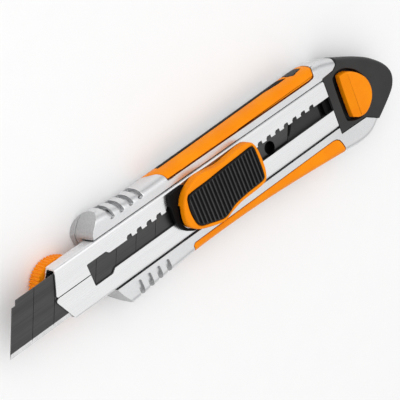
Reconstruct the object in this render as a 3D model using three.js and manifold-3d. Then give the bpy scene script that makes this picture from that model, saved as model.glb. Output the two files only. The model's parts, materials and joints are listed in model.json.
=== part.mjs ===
// Utility knife with an 18 mm snap-off blade, lying on its back with the slider up.
// Millimetres. X runs from the blade tip to the tail, Y towards the blade's spine, Z up.
// The pieces are laid out in knife coordinates: X = 0 at the blade tip, Y = 0 on the
// blade's centre line and Z = 0 in the blade plane. The last group shifts them so that
// the origin is at the bottom centre of the whole knife.
import * as THREE from 'three';
import { mergeVertices } from 'three/addons/utils/BufferGeometryUtils.js';
import Module from 'manifold-3d';

const wasm = await Module();
wasm.setup();

// ---- driving dimensions ----

const GAP = 0.3;                // running and fitting gap between pieces
const FACE_Z = 1.35;            // front face of the handle and top of the channel
const BACK_Z = -13;             // back of the handle
const SPLIT_Z = -9.6;           // seam between the casting and the back cover

const BLADE_LENGTH = 100;
const BLADE_HALF_WIDTH = 9;
const BLADE_HALF_THICKNESS = 0.25;
const BLADE_SLANT = 0.556;      // X per Y of the score lines, about 61 degrees to the edge
const BLADE_BEVEL = 1.7;        // width of the ground edge
const SEGMENT_LENGTH = 10;
const SEGMENT_COUNT = 9;
const SCORE_DEPTH = 0.1;
const BLADE_HOLE = { x: 94.3, y: -0.6, radius: 2.7 };
const BLADE_PITCH_Z = 0.8;      // one blade above the next in the magazine
const SPARE_TIP_X = 43.6;

const SHEET = 0.8;              // thickness of the folded channel
const CHANNEL_HALF_WIDTH = 10.7;
const CHANNEL_BOTTOM_Z = -5.7;
const CHANNEL_FOLD_RADIUS = 1.2;
const CHANNEL_END_X = 173.1;
const SEAM_Y = 0.5;
const SLOT_LOW_Y = -2.9;
const SLOT_HIGH_Y = 3.5;
const NOTCH_FIRST_X = 62.9;
const NOTCH_PITCH = 5;
const NOTCH_COUNT = 21;
const NOTCH_WIDTH = 2.5;
const NOTCH_DEPTH = 1.4;

const GROOVE_HALF_WIDTH = CHANNEL_HALF_WIDTH + 0.4;
const GROOVE_FLOOR_Z = CHANNEL_BOTTOM_Z - GAP;
const FLOOR_THICKNESS = 1.8;
const NOSE_WALL_SLANT = 0.08;   // how far the nose walls run forward per mm of depth

const GRIP_INNER_Y = 14.4;
const GRIP_BOTTOM_Z = -9.3;
const STRIP_INNER_Y = 16.2;
const STRIP_TOP_Z = -6.2;

const FINGER_GROOVE_X = 59.7;
const FINGER_GROOVE_PITCH = 4.8;
const FINGER_GROOVE_COUNT = 4;
const FINGER_GROOVE_WIDTH = 2.2;
const FINGER_GROOVE_DEPTH = 1.3;

const WHEEL_X = 33.4;
const WHEEL_RADIUS = 11;
const WHEEL_TOP_Z = -6.1;
const WHEEL_BOTTOM_Z = -12.6;
const WHEEL_TEETH = 50;
const WHEEL_TOOTH_DEPTH = 0.5;
const WHEEL_SCREW_RADIUS = 1.5;
const CLAMP_PAD_RADIUS = 4.2;

const BACK_SCREWS = [[57, 7], [57, -7], [160, 7], [160, -7]];
const SCREW_RADIUS = 1.2;
const SCREW_HEAD_RADIUS = 2.3;
const SCREW_BOSS_RADIUS = 3;

const PRESS_TRAVEL = 1;         // how far the thumb cap goes down
const PAWL_TRAVEL = 1.6;        // how far the pawl leaves its notch
const PAWL_NOTCH = 8;           // the notch that holds the slider at rest
const PAWL_X = NOTCH_FIRST_X + PAWL_NOTCH * NOTCH_PITCH;
const PAWL_HALF_WIDTH = 2;
const PAWL_BACK_Y = -0.5;
const PAWL_CREST_Y = 0.7;
const PAWL_FACE_Y = 2.6;
const PAWL_BOTTOM_Z = 0.65;
const PAWL_TOP_Z = 3.9;
const RIVET_X = 122;
const PRESS_SPRING_X = 115;
const CARRIER_BOTTOM_Z = FACE_Z + GAP;
const CARRIER_TOP_Z = 3.8;
const CAP_BOTTOM_Z = CARRIER_BOTTOM_Z + PRESS_TRAVEL;
const CAP_CEILING_Z = 5.15;
const SLIDER_TOP_Z = 7;
const PAD_BASE_Z = 6.4;
const PAD_VALLEY_Z = 6.9;
const PAD_CREST_Z = 7.7;
const PAD_BORDER_Z = 7.4;
const PAD_BORDER_WIDTH = 0.8;
const PAD_FIRST_RIB_X = 88.9;
const PAD_RIB_PITCH = 1.8;
const PAD_RIB_COUNT = 20;

const BUTTON_TOP_Z = 4;
const BUTTON_BOTTOM_Z = -0.4;
const BUTTON_TRAVEL = 1.5;
const BUTTON_CREASE_X = 184;
const BUTTON_FRONT_Z = 2.1;      // height of the thumb slope at X = 181
const RECESS_MARGIN = 0.9;      // room round the outline of the button's recess
const LATCH_TOP_Z = -0.7;
const LATCH_THICKNESS = 0.6;
const BUTTON_ROOM_Z = LATCH_TOP_Z - LATCH_THICKNESS - BUTTON_TRAVEL - 0.5;
const TRAY_TOP_Z = -0.6;
const MAGAZINE_SPRING_X = [50, 130];
const BUTTON_SPRING = { x: 187.5, y: -1.5, bottomZ: -9.2 };

// Plan outlines. Each list of points is the control polygon of a smooth curve.
const HANDLE_LOWER_EDGE = [
  [24, -20.4], [54, -20.7], [75, -19.3], [95, -18.6], [121, -19], [145, -20.5],
  [170, -22.7], [182, -23.9], [190, -22.8], [196, -19.2],
];
const HANDLE_TAIL_EDGE = [
  [196, -19.2], [203, -14.8], [208.2, -10.6], [210.3, -5.6], [209, -0.8], [204.5, 4.2],
  [197.6, 9.1], [184.7, 15.2],
];
const HANDLE_UPPER_EDGE = [
  [184.7, 15.2], [177, 17.6], [168, 18.6], [155, 18.4], [120, 17.7], [85, 17.1],
  [70, 17.1], [61, 18], [53, 18.9], [24, 18.7],
];
const SLIDER_CAP_EDGE = [
  [85.1, -3.5], [88.4, -7.6], [94, -10], [101, -11.7], [106, -10.4], [112, -9.2],
  [121, -8.9], [125.6, -8], [127.4, -4.6], [127.8, 1], [127.2, 6.6], [125.2, 9.6],
  [121, 10.3], [115, 9.8], [108, 9.3], [98.5, 10.7], [94, 9.8], [89.5, 7.5], [86.2, 3],
];
const SLIDER_PAD_EDGE = [
  [88.2, -2], [89.6, -6.6], [95, -8.6], [101, -10.2], [104.8, -9.4], [108.4, -8.1],
  [114.9, -7.3], [122.4, -7], [124.8, -6.5], [125.6, -5], [125.9, 0], [125.8, 5.6],
  [125.4, 7.5], [124, 8.2], [118, 7.95], [112.5, 7.7], [106, 7.4], [99.7, 7],
  [92, 6.8], [89.4, 5.9], [88.3, 2.6],
];
const RECESS_EDGE = [
  [178.7, -8], [179.9, -10.5], [183.6, -11.8], [187.3, -11.9], [191, -10], [193.4, -6.8],
  [194.2, -3], [193.3, 1.6], [190.3, 5.9], [185.8, 8.9], [182.3, 9.7], [179.6, 8.9],
  [178.7, 6.6],
];
const BUTTON_EDGE = [
  [181, -8.4], [181.9, -10.6], [184.6, -11.6], [187.6, -11.4], [190.6, -9.7], [193.1, -6.8],
  [194.2, -3], [193.4, 1.3], [190.7, 5], [187, 7.9], [184, 9], [182, 8.8], [181, 7],
];
const UPPER_GRIP_SIDE = [
  [87.6, 0], [86.4, -3], [84.4, -5.5], [82.6, GRIP_BOTTOM_Z], [169.2, GRIP_BOTTOM_Z],
  [170.5, -7.8], [171.2, -5.4], [171.3, -2.8], [170.7, -0.6], [169.4, 1], [167, 2.4], [88, 2.4],
];
const LOWER_GRIP_PLAN = [
  [89.6, -26], [174, -26], [171.6, -17.4], [170.8, -15.8], [169.4, -14.8],
  [167.6, -GRIP_INNER_Y], [88.2, -GRIP_INNER_Y], [87.2, -15.2],
];
const UPPER_GRIP_PLAN = [
  [80, GRIP_INNER_Y], [166.4, GRIP_INNER_Y], [168.4, 14.7], [169.8, 15.6], [170.8, 17],
  [171.6, 25], [80, 25],
];
const STRIP_SIDE = [
  [90, GRIP_BOTTOM_Z], [157.8, GRIP_BOTTOM_Z], [160.2, -5], [155.6, -4.9], [148, STRIP_TOP_Z],
  [90, STRIP_TOP_Z],
];
const TIP_INLAY_SIDE = [
  [161.9, GRIP_BOTTOM_Z], [168.2, GRIP_BOTTOM_Z], [168.5, -4.5], [163, -2.9], [161.6, -4.9],
];

// The border of the end cap and its front corner, in plan.
const END_CAP_REGION = [
  [173.4, -13.8], [188.3, -14.1], [194.2, -17.7], [199, -22.4], [216, -22], [216, 22],
  [189, 22], [182.3, 13.4], [179.6, 11.8], [173.4, 11.6],
];

// ---- materials ----

const paint = (color, roughness, metalness) =>
  new THREE.MeshStandardMaterial({ color, roughness, metalness });
const CAST_METAL = paint('#d9dadb', 0.4, 0.9);
const STAINLESS = paint('#e0e1e2', 0.3, 0.95);
const BLADE_STEEL = paint('#4a4a4a', 0.45, 0.8);
const SPRING_STEEL = paint('#9a9c9f', 0.35, 0.9);
const ORANGE_PLASTIC = paint('#ff9500', 0.45, 0);
const DARK_PLASTIC = paint('#3f3f3e', 0.6, 0);
const BLACK_PLASTIC = paint('#141414', 0.55, 0);
const RUBBER = paint('#1e1e1f', 0.85, 0);

// ---- solid tools ----

function solidOf(geometry) {
  const bare = geometry.clone();
  bare.deleteAttribute('normal');
  bare.deleteAttribute('uv');
  const merged = mergeVertices(bare, 1e-4);
  return new wasm.Manifold(new wasm.Mesh({
    numProp: 3,
    vertProperties: new Float32Array(merged.attributes.position.array),
    triVerts: new Uint32Array(merged.index.array),
  }));
}

function geometryOf(solid) {
  const mesh = solid.getMesh();
  const geometry = new THREE.BufferGeometry();
  geometry.setAttribute('position', new THREE.BufferAttribute(mesh.vertProperties, 3));
  geometry.setIndex(new THREE.BufferAttribute(mesh.triVerts, 1));
  geometry.computeVertexNormals();
  return geometry;
}

const subtractAll = (solid, cutters) => cutters.reduce((rest, cutter) => rest.subtract(cutter), solid);
const addAll = (solid, others) => others.reduce((sum, other) => sum.add(other), solid);

const shapeOf = (ring) => new THREE.Shape(ring.map(([x, y]) => new THREE.Vector2(x, y)));

// A straight prism over a plan outline.
function prism(ring, lowZ, highZ) {
  const geometry = new THREE.ExtrudeGeometry(shapeOf(ring), { depth: highZ - lowZ, bevelEnabled: false });
  return solidOf(geometry.translate(0, 0, lowZ));
}

// A prism along Y over a side outline given as X and Z.
function prismAlongY(ring, lowY, highY) {
  const geometry = new THREE.ExtrudeGeometry(shapeOf(ring), { depth: highY - lowY, bevelEnabled: false });
  return solidOf(geometry.rotateX(Math.PI / 2).translate(0, highY, 0));
}

// A prism along X over a cross-section given as Y and Z.
function prismAlongX(ring, lowX, highX) {
  const geometry = new THREE.ExtrudeGeometry(shapeOf(ring), { depth: highX - lowX, bevelEnabled: false });
  const basis = new THREE.Matrix4().makeBasis(
    new THREE.Vector3(0, 1, 0),
    new THREE.Vector3(0, 0, 1),
    new THREE.Vector3(1, 0, 0),
  );
  return solidOf(geometry.applyMatrix4(basis).translate(lowX, 0, 0));
}

function box([lowX, highX], [lowY, highY], [lowZ, highZ]) {
  return prism([[lowX, lowY], [highX, lowY], [highX, highY], [lowX, highY]], lowZ, highZ);
}

function cylinder(x, y, radius, lowZ, highZ, sides = 18) {
  const geometry = new THREE.CylinderGeometry(radius, radius, highZ - lowZ, sides);
  return solidOf(geometry.rotateX(Math.PI / 2).translate(x, y, (lowZ + highZ) / 2));
}

// A solid through rings of equal length at rising heights.
function loft(layers) {
  const count = layers[0].ring.length;
  const positions = layers.flatMap(({ z, ring }) => ring.flatMap(([x, y]) => [x, y, z]));
  const faces = [];
  for (let layer = 0; layer + 1 < layers.length; layer += 1) {
    for (let i = 0; i < count; i += 1) {
      const a = layer * count + i;
      const b = layer * count + (i + 1) % count;
      faces.push(a, b, b + count, a, b + count, a + count);
    }
  }
  const cap = (layer, flip) => {
    const contour = layers[layer].ring.map(([x, y]) => new THREE.Vector2(x, y));
    for (const [a, b, c] of THREE.ShapeUtils.triangulateShape(contour, [])) {
      const corners = flip ? [a, c, b] : [a, b, c];
      faces.push(...corners.map((corner) => corner + layer * count));
    }
  };
  cap(0, true);
  cap(layers.length - 1, false);
  const geometry = new THREE.BufferGeometry();
  geometry.setAttribute('position', new THREE.BufferAttribute(new Float32Array(positions), 3));
  geometry.setIndex(faces);
  return solidOf(geometry);
}

// ---- plan curves ----

function smooth(points, perSpan = 3) {
  const curve = new THREE.SplineCurve(points.map(([x, y]) => new THREE.Vector2(x, y)));
  return curve.getPoints((points.length - 1) * perSpan).map(({ x, y }) => [x, y]);
}

function smoothLoop(points, perSpan = 2) {
  const corners = points.map(([x, y]) => new THREE.Vector3(x, y, 0));
  const curve = new THREE.CatmullRomCurve3(corners, true, 'catmullrom', 0.5);
  return curve.getPoints(points.length * perSpan).slice(0, -1).map(({ x, y }) => [x, y]);
}

// Moves each corner of a counter-clockwise ring inwards, or outwards by a negative inset.
function insetRing(ring, inset) {
  return ring.map(([x, y], i) => {
    const [fromX, fromY] = ring.at(i - 1);
    const [toX, toY] = ring[(i + 1) % ring.length];
    const length = Math.hypot(toX - fromX, toY - fromY);
    return [x - inset * (toY - fromY) / length, y + inset * (toX - fromX) / length];
  });
}

// Grows a counter-clockwise ring by the same distance on every side, with mitred corners.
function grownRing(ring, distance) {
  const outward = ([fromX, fromY], [toX, toY]) => {
    const length = Math.hypot(toX - fromX, toY - fromY);
    return [(toY - fromY) / length, (fromX - toX) / length];
  };
  return ring.map((corner, i) => {
    const before = outward(ring.at(i - 1), corner);
    const after = outward(corner, ring[(i + 1) % ring.length]);
    const reach = distance / (1 + before[0] * after[0] + before[1] * after[1]);
    return [corner[0] + reach * (before[0] + after[0]), corner[1] + reach * (before[1] + after[1])];
  });
}

const HANDLE_RING = [
  ...smooth(HANDLE_LOWER_EDGE).slice(0, -1),
  ...smooth(HANDLE_TAIL_EDGE).slice(0, -1),
  ...smooth(HANDLE_UPPER_EDGE),
];

// A plate over a ring with elliptical edge rounding at its front and back.
function roundedPlate(ring, front, back, steps = 4) {
  const layers = [];
  for (let i = 0; i <= steps; i += 1) {
    const angle = (1 - i / steps) * Math.PI / 2;
    layers.push({
      z: back.z + back.drop * (1 - Math.sin(angle)),
      ring: insetRing(ring, back.inset * (1 - Math.cos(angle))),
    });
  }
  for (let i = 0; i <= steps; i += 1) {
    const angle = i / steps * Math.PI / 2;
    layers.push({
      z: front.z - front.drop * (1 - Math.sin(angle)),
      ring: insetRing(ring, front.inset * (1 - Math.cos(angle))),
    });
  }
  return loft(layers);
}

// The whole handle's outer shape. The skin depth gives the same shape further in.
function handleShape(skinDepth = 0) {
  const ring = insetRing(HANDLE_RING, skinDepth);
  const front = { z: FACE_Z - skinDepth, drop: 5.3, inset: 3.4 };
  const back = { z: BACK_Z + skinDepth, drop: 7.4, inset: 5 };
  return roundedPlate(ring, front, back);
}

function endCapShape() {
  return roundedPlate(
    HANDLE_RING,
    { z: FACE_Z, drop: 3.4, inset: 2.2 },
    { z: BACK_Z, drop: 7.4, inset: 5 },
  );
}

// ---- blades ----

// X of a line that runs parallel to the score lines, at the height y.
const slantedX = (edgeX, y) => edgeX + (y + BLADE_HALF_WIDTH) * BLADE_SLANT;

function scoreCut(index) {
  const edgeX = index * SEGMENT_LENGTH;
  const halfWidth = 0.12;
  const lowZ = BLADE_HALF_THICKNESS - SCORE_DEPTH;
  const ring = [
    [slantedX(edgeX, -7) - halfWidth, -7],
    [slantedX(edgeX, -7) + halfWidth, -7],
    [slantedX(edgeX, 10) + halfWidth, 10],
    [slantedX(edgeX, 10) - halfWidth, 10],
  ];
  return prism(ring, lowZ, 1);
}

// A snap-off blade with its tip at the origin: slanted ends, ground edge, scored face.
function bladeSolid() {
  const w = BLADE_HALF_WIDTH;
  const t = BLADE_HALF_THICKNESS;
  const nick = 1.8;
  const outline = [
    [0, -w],
    [BLADE_LENGTH, -w],
    [slantedX(BLADE_LENGTH, w), w],
    [slantedX(0, w) + 1.6, w],
    [slantedX(0, w - nick) + 1.6, w - nick],
    [slantedX(0, w - nick), w - nick],
  ];
  const section = [
    [-w, -0.04], [-w + BLADE_BEVEL, -t], [w, -t], [w, t], [-w + BLADE_BEVEL, t], [-w, 0.04],
  ];
  const plate = prism(outline, -1, 1).intersect(prismAlongX(section, -1, BLADE_LENGTH + 20));
  const hole = cylinder(BLADE_HOLE.x, BLADE_HOLE.y, BLADE_HOLE.radius, -1, 1);
  const scores = Array.from({ length: SEGMENT_COUNT - 1 }, (_, i) => scoreCut(i + 1));
  return subtractAll(plate, [hole, ...scores]);
}

// ---- channel ----

// The folded section: back sheet, two side walls and two lips that leave the seam open.
function channelSection() {
  const outer = CHANNEL_HALF_WIDTH;
  const inner = outer - SHEET;
  const bottom = CHANNEL_BOTTOM_Z;
  const top = FACE_Z;
  const arc = (cy, cz, radius, fromAngle, toAngle) => Array.from({ length: 5 }, (_, i) => {
    const angle = fromAngle + (toAngle - fromAngle) * i / 4;
    return [cy + radius * Math.cos(angle), cz + radius * Math.sin(angle)];
  });
  const r = CHANNEL_FOLD_RADIUS;
  const quarter = Math.PI / 2;
  const side = outer - r;
  return [
    [SEAM_Y - 0.15, top],
    ...arc(-side, top - r, r, quarter, 2 * quarter),
    ...arc(-side, bottom + r, r, 2 * quarter, 3 * quarter),
    ...arc(side, bottom + r, r, 3 * quarter, 4 * quarter),
    ...arc(side, top - r, r, 0, quarter),
    [SEAM_Y + 0.15, top],
    [SEAM_Y + 0.15, top - SHEET],
    [inner, top - SHEET],
    [inner, bottom + SHEET],
    [-inner, bottom + SHEET],
    [-inner, top - SHEET],
    [SEAM_Y - 0.15, top - SHEET],
  ];
}

// The rectangular notches along the spine side of the slot, with one rounded corner.
function notchCut(index) {
  const x = NOTCH_FIRST_X + index * NOTCH_PITCH;
  const half = NOTCH_WIDTH / 2;
  const top = SLOT_HIGH_Y + NOTCH_DEPTH;
  const ring = [
    [x - half, SLOT_HIGH_Y - 1],
    [x + half, SLOT_HIGH_Y - 1],
    [x + half, top],
    [x - half + 0.7, top],
    [x - half, top - 0.7],
  ];
  return prism(ring, FACE_Z - 2 * SHEET, FACE_Z + 1);
}

function channelSolid() {
  const tube = prismAlongX(channelSection(), 24, CHANNEL_END_X);
  const lipNose = [
    [20, -12], [30.1, -12], [29.3, -9.9], [25.4, -1.4], [25.2, -0.7], [25.6, -0.1],
    [26.5, 0.36], [26.5, 0.64], [26, 1.1], [26, 1.6], [26.5, 2.6], [29.5, 10.2], [30, 12],
    [20, 12],
  ];
  const backNose = [[20, -12], [31.6, -12], [27.3, -6.5], [27.3, 6.5], [31.6, 12], [20, 12]];
  const window = [
    [42, -4.4], [50.6, -4.4], [52.3, SLOT_LOW_Y], [56, SLOT_LOW_Y], [56, SLOT_HIGH_Y],
    [52.6, SLOT_HIGH_Y], [51.4, 4.7], [42.1, 4.7],
  ];
  const lipLow = FACE_Z - 2 * SHEET;
  const notches = Array.from({ length: NOTCH_COUNT }, (_, i) => notchCut(i));
  return subtractAll(tube, [
    prism(lipNose, CHANNEL_BOTTOM_Z + SHEET + 0.1, FACE_Z + 1),
    prism(backNose, CHANNEL_BOTTOM_Z - 1, CHANNEL_BOTTOM_Z + SHEET + 0.2),
    prism(window, lipLow, FACE_Z + 1),
    box([55, CHANNEL_END_X + 1], [SLOT_LOW_Y, SLOT_HIGH_Y], [lipLow, FACE_Z + 1]),
    cylinder(WHEEL_X, 0, WHEEL_SCREW_RADIUS + GAP, CHANNEL_BOTTOM_Z - 1, CHANNEL_BOTTOM_Z + 2),
    ...notches,
  ]);
}

// ---- handle ----

// Everything ahead of the slanted nose walls of the two wings.
function noseCut() {
  const ahead = [
    [10, -30], [60, -30], [55.6, -21.4], [53.2, -18.3], [50.7, -14], [49.8, -12.2],
    [49.5, -10.6], [48.8, 11.4], [49.2, 12.7], [50.4, 14.4], [52.8, 16.8], [56.2, 18.9],
    [64, 22], [64, 27], [10, 27],
  ];
  const highZ = FACE_Z + 1;
  const lowZ = BACK_Z - 1;
  const shift = NOSE_WALL_SLANT * (highZ - lowZ);
  return loft([
    { z: lowZ, ring: ahead.map(([x, y]) => [x - shift, y]) },
    { z: highZ, ring: ahead },
  ]);
}

// The slots across both wings for the fingers. They follow the flank at an even depth.
function fingerGrooves() {
  const core = handleShape(FINGER_GROOVE_DEPTH);
  const half = FINGER_GROOVE_WIDTH / 2;
  return Array.from({ length: FINGER_GROOVE_COUNT }, (_, i) => {
    const x = FINGER_GROOVE_X + i * FINGER_GROOVE_PITCH;
    const upper = box([x - half, x + half], [14, 25], [-8, FACE_Z + 1]);
    const lower = box([x - half - 0.6, x + half - 0.6], [-25, -12.9], [-8, FACE_Z + 1]);
    return upper.add(lower).subtract(core);
  });
}

// Room for each grip inlay. The upper one is bounded from the side and in plan, with a
// wider gap along its inner edge.
function upperGripRoom(clearance) {
  const side = prismAlongY(grownRing(UPPER_GRIP_SIDE, clearance), GRIP_INNER_Y - 2 * clearance, 25);
  return side.intersect(prism(grownRing(UPPER_GRIP_PLAN, 2 * clearance), BACK_Z, FACE_Z + 2));
}

function lowerGripRoom(clearance) {
  return prism(grownRing(LOWER_GRIP_PLAN, clearance), GRIP_BOTTOM_Z - clearance, 3);
}

// The groove for the dark strip, on one side of the handle.
function stripRoom(side, clearance) {
  const innerY = STRIP_INNER_Y + (side < 0 ? 1 : 0) - clearance;
  const outline = grownRing(STRIP_SIDE, clearance);
  return side > 0 ? prismAlongY(outline, innerY, 25) : prismAlongY(outline, -30, -innerY);
}

// The pocket behind the upper strip for the small grey inlay.
function tipInlayRoom(clearance) {
  return prismAlongY(grownRing(TIP_INLAY_SIDE, clearance), STRIP_INNER_Y - clearance, 25);
}

function gripSolids() {
  const handle = handleShape();
  const upper = handle.intersect(upperGripRoom(0));
  const lower = handle.intersect(lowerGripRoom(0));
  return {
    upper_grip: subtractAll(upper, [stripRoom(1, GAP), tipInlayRoom(GAP)]),
    lower_grip: lower.subtract(stripRoom(-1, GAP)),
    upper_grip_strip: upper.intersect(stripRoom(1, 0)),
    lower_grip_strip: lower.intersect(stripRoom(-1, 0)),
    upper_grip_tip_inlay: upper.intersect(tipInlayRoom(0)),
  };
}

function castingSolid() {
  const pocketTop = GROOVE_FLOOR_Z - FLOOR_THICKNESS;
  const shell = subtractAll(handleShape(), [
    box([0, 230], [-40, 40], [BACK_Z - 1, SPLIT_Z]),
    box([0, 230], [-GROOVE_HALF_WIDTH, GROOVE_HALF_WIDTH], [GROOVE_FLOOR_Z, FACE_Z + 1]),
    box([50, 168], [-10.4, 10.4], [SPLIT_Z - 1, pocketTop]),
    prism(insetRing(END_CAP_REGION, -GAP), BACK_Z - 1, FACE_Z + 1),
    noseCut(),
    upperGripRoom(GAP),
    lowerGripRoom(GAP),
    ...fingerGrooves(),
  ]);
  const bosses = BACK_SCREWS.map(([x, y]) => cylinder(x, y, SCREW_BOSS_RADIUS, SPLIT_Z, pocketTop + 0.5));
  const holeTop = GROOVE_FLOOR_Z - 0.6;
  const holes = BACK_SCREWS.map(([x, y]) => cylinder(x, y, SCREW_RADIUS + GAP, SPLIT_Z - 1, holeTop));
  return subtractAll(addAll(shell, bosses), holes);
}

function coverSolid() {
  const plate = handleShape().intersect(box([0, 230], [-40, 40], [BACK_Z - 1, SPLIT_Z - GAP]));
  const screwCuts = BACK_SCREWS.flatMap(([x, y]) => [
    cylinder(x, y, SCREW_RADIUS + GAP, BACK_Z - 1, SPLIT_Z + 1),
    cylinder(x, y, SCREW_HEAD_RADIUS + GAP, BACK_Z - 1, BACK_Z + 2),
  ]);
  return subtractAll(plate, [
    prism(insetRing(END_CAP_REGION, -GAP), BACK_Z - 1, FACE_Z + 1),
    noseCut(),
    ...screwCuts,
  ]);
}

// A pan-head screw seen from the back, with a cross slot in its head.
function backScrewSolid(x, y) {
  const headBottom = BACK_Z + 0.3;
  const headTop = BACK_Z + 1.7;
  const shank = cylinder(x, y, SCREW_RADIUS, headTop - 0.2, GROOVE_FLOOR_Z - 1);
  const head = cylinder(x, y, SCREW_HEAD_RADIUS, headBottom, headTop);
  const slots = [[1.5, 0.3], [0.3, 1.5]].map(([halfX, halfY]) =>
    box([x - halfX, x + halfX], [y - halfY, y + halfY], [headBottom - 1, headBottom + 0.7]));
  return subtractAll(head.add(shank), slots);
}

// ---- nose wheel and blade clamp ----

// A toothed ring: two points on each crest and two in each valley.
function toothedRing(radius) {
  return Array.from({ length: WHEEL_TEETH * 2 }, (_, i) => {
    const angle = i / (WHEEL_TEETH * 2) * Math.PI * 2;
    const r = i % 2 === 0 ? radius : radius - WHEEL_TOOTH_DEPTH;
    return [WHEEL_X + r * Math.cos(angle), r * Math.sin(angle)];
  });
}

function wheelSolid() {
  const bevel = 0.8;
  const body = loft([
    { z: WHEEL_BOTTOM_Z, ring: toothedRing(WHEEL_RADIUS - bevel) },
    { z: WHEEL_BOTTOM_Z + bevel, ring: toothedRing(WHEEL_RADIUS) },
    { z: WHEEL_TOP_Z - bevel, ring: toothedRing(WHEEL_RADIUS) },
    { z: WHEEL_TOP_Z, ring: toothedRing(WHEEL_RADIUS - bevel) },
  ]);
  return subtractAll(body, [
    cylinder(WHEEL_X, 0, WHEEL_SCREW_RADIUS + GAP, WHEEL_BOTTOM_Z - 1, WHEEL_TOP_Z + 1),
    cylinder(WHEEL_X, 0, 3.1, WHEEL_BOTTOM_Z - 1, WHEEL_BOTTOM_Z + 2),
  ]);
}

function wheelScrewSolid() {
  const head = cylinder(WHEEL_X, 0, 2.8, WHEEL_BOTTOM_Z + 0.2, WHEEL_BOTTOM_Z + 1.7);
  const shank = cylinder(WHEEL_X, 0, WHEEL_SCREW_RADIUS, WHEEL_BOTTOM_Z + 1, -1.3);
  const slot = box([WHEEL_X - 2, WHEEL_X + 2], [-0.35, 0.35], [WHEEL_BOTTOM_Z - 1, WHEEL_BOTTOM_Z + 0.9]);
  return head.add(shank).subtract(slot);
}

function clampNutSolid() {
  const lowZ = CHANNEL_BOTTOM_Z + SHEET + GAP;
  const bore = cylinder(WHEEL_X, 0, WHEEL_SCREW_RADIUS + GAP, lowZ - 1, lowZ + 3);
  return cylinder(WHEEL_X, 0, 3.6, lowZ, lowZ + 1.7, 6).subtract(bore);
}

// The plunger that the wheel's screw pushes against the underside of the blade.
function clampPadSolid() {
  const pad = cylinder(WHEEL_X, 0, CLAMP_PAD_RADIUS, -2.55, -0.6);
  return pad.subtract(cylinder(WHEEL_X, 0, WHEEL_SCREW_RADIUS + GAP, -4, -0.95));
}

// ---- slider ----

const PAWL_ROOM_X = [PAWL_X - PAWL_HALF_WIDTH - 0.4, PAWL_X + PAWL_HALF_WIDTH + 0.4];
const PAWL_ROOM_Y = [-3.4, 5.2];
const SLOT_NECK = [SLOT_LOW_Y + 0.4, SLOT_HIGH_Y - 0.4];

function carrierSolid() {
  const capRing = smoothLoop(SLIDER_CAP_EDGE);
  const frontBlock = prism([
    [82.8, -3.6], [85, -6.8], [88.6, -8.9], [92, -9.4], [92, 9.8], [88.5, 9.7], [84.2, 9.2],
    [83, 5.4], [82.4, 0],
  ], CARRIER_BOTTOM_Z, 3.4).subtract(prism(insetRing(capRing, -GAP), 0, 8));
  const tongue = box([83.4, 93], [-4.4, 2.8], [CARRIER_BOTTOM_Z, 2.6]);
  const core = box([91, 124.4], [-6.6, 6.6], [CARRIER_BOTTOM_Z, CARRIER_TOP_Z]);
  const neck = box([112.2, 125], SLOT_NECK, [BLADE_HALF_THICKNESS + GAP, CARRIER_BOTTOM_Z + 0.5]);
  return subtractAll(addAll(core, [frontBlock, tongue, neck]), [
    box(PAWL_ROOM_X, PAWL_ROOM_Y, [0, 5]),
    box([106.6, 108.4], [-3.4, 3.6], [CARRIER_BOTTOM_Z + 0.5, 5]),
    cylinder(BLADE_HOLE.x, BLADE_HOLE.y, 1.9 + GAP, 0, 5),
    cylinder(BLADE_HOLE.x, BLADE_HOLE.y, 2.7 + GAP, 2.6, 5),
    cylinder(RIVET_X, 0, 1.2 + GAP, 0, 5),
    cylinder(RIVET_X, 0, 2 + GAP, 2.6, 5),
    cylinder(PRESS_SPRING_X, 0, 2.2 + GAP, 1.9, 5),
  ]);
}

// A headed pin that stands up from the blade plane into the carrier.
function headedPin(x, y, radius, headRadius) {
  const shaft = cylinder(x, y, radius, -BLADE_HALF_THICKNESS, 3.2);
  return shaft.add(cylinder(x, y, headRadius, 2.9, 3.6));
}

// The steel plate that runs under the lips and pushes on the tail of the blade.
function slidePlateSolid() {
  const halfWidth = 8.5;
  const frontX = BLADE_LENGTH + 0.5;
  const outline = [
    [slantedX(frontX, -halfWidth), -halfWidth],
    [125.6, -halfWidth],
    [125.6, halfWidth],
    [slantedX(frontX, halfWidth), halfWidth],
  ];
  const plate = prism(outline, -BLADE_HALF_THICKNESS, BLADE_HALF_THICKNESS);
  return plate.subtract(cylinder(RIVET_X, 0, 1.2 + GAP, -1, 1));
}

// The pawl's ramp is as steep as the cap's travel over the pawl's, so the cap's wedge
// slides down it at an even gap.
const rampZ = (y) => PAWL_TOP_Z - (y - PAWL_CREST_Y) * PRESS_TRAVEL / PAWL_TRAVEL;

// The pawl: a post with a ramp on top and a short tooth that points at the notches.
function pawlSolid() {
  const section = [
    [PAWL_BACK_Y, PAWL_BOTTOM_Z], [PAWL_FACE_Y, PAWL_BOTTOM_Z],
    [PAWL_FACE_Y, rampZ(PAWL_FACE_Y)], [PAWL_CREST_Y, PAWL_TOP_Z], [PAWL_BACK_Y, PAWL_TOP_Z],
  ];
  const post = prismAlongX(section, PAWL_X - PAWL_HALF_WIDTH, PAWL_X + PAWL_HALF_WIDTH);
  const toothHalf = NOTCH_WIDTH / 2 - GAP;
  const tooth = box(
    [PAWL_X - toothHalf, PAWL_X + toothHalf],
    [PAWL_FACE_Y - 0.1, SLOT_HIGH_Y - GAP],
    [PAWL_BOTTOM_Z, FACE_Z - 0.05],
  );
  return post.add(tooth);
}

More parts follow.
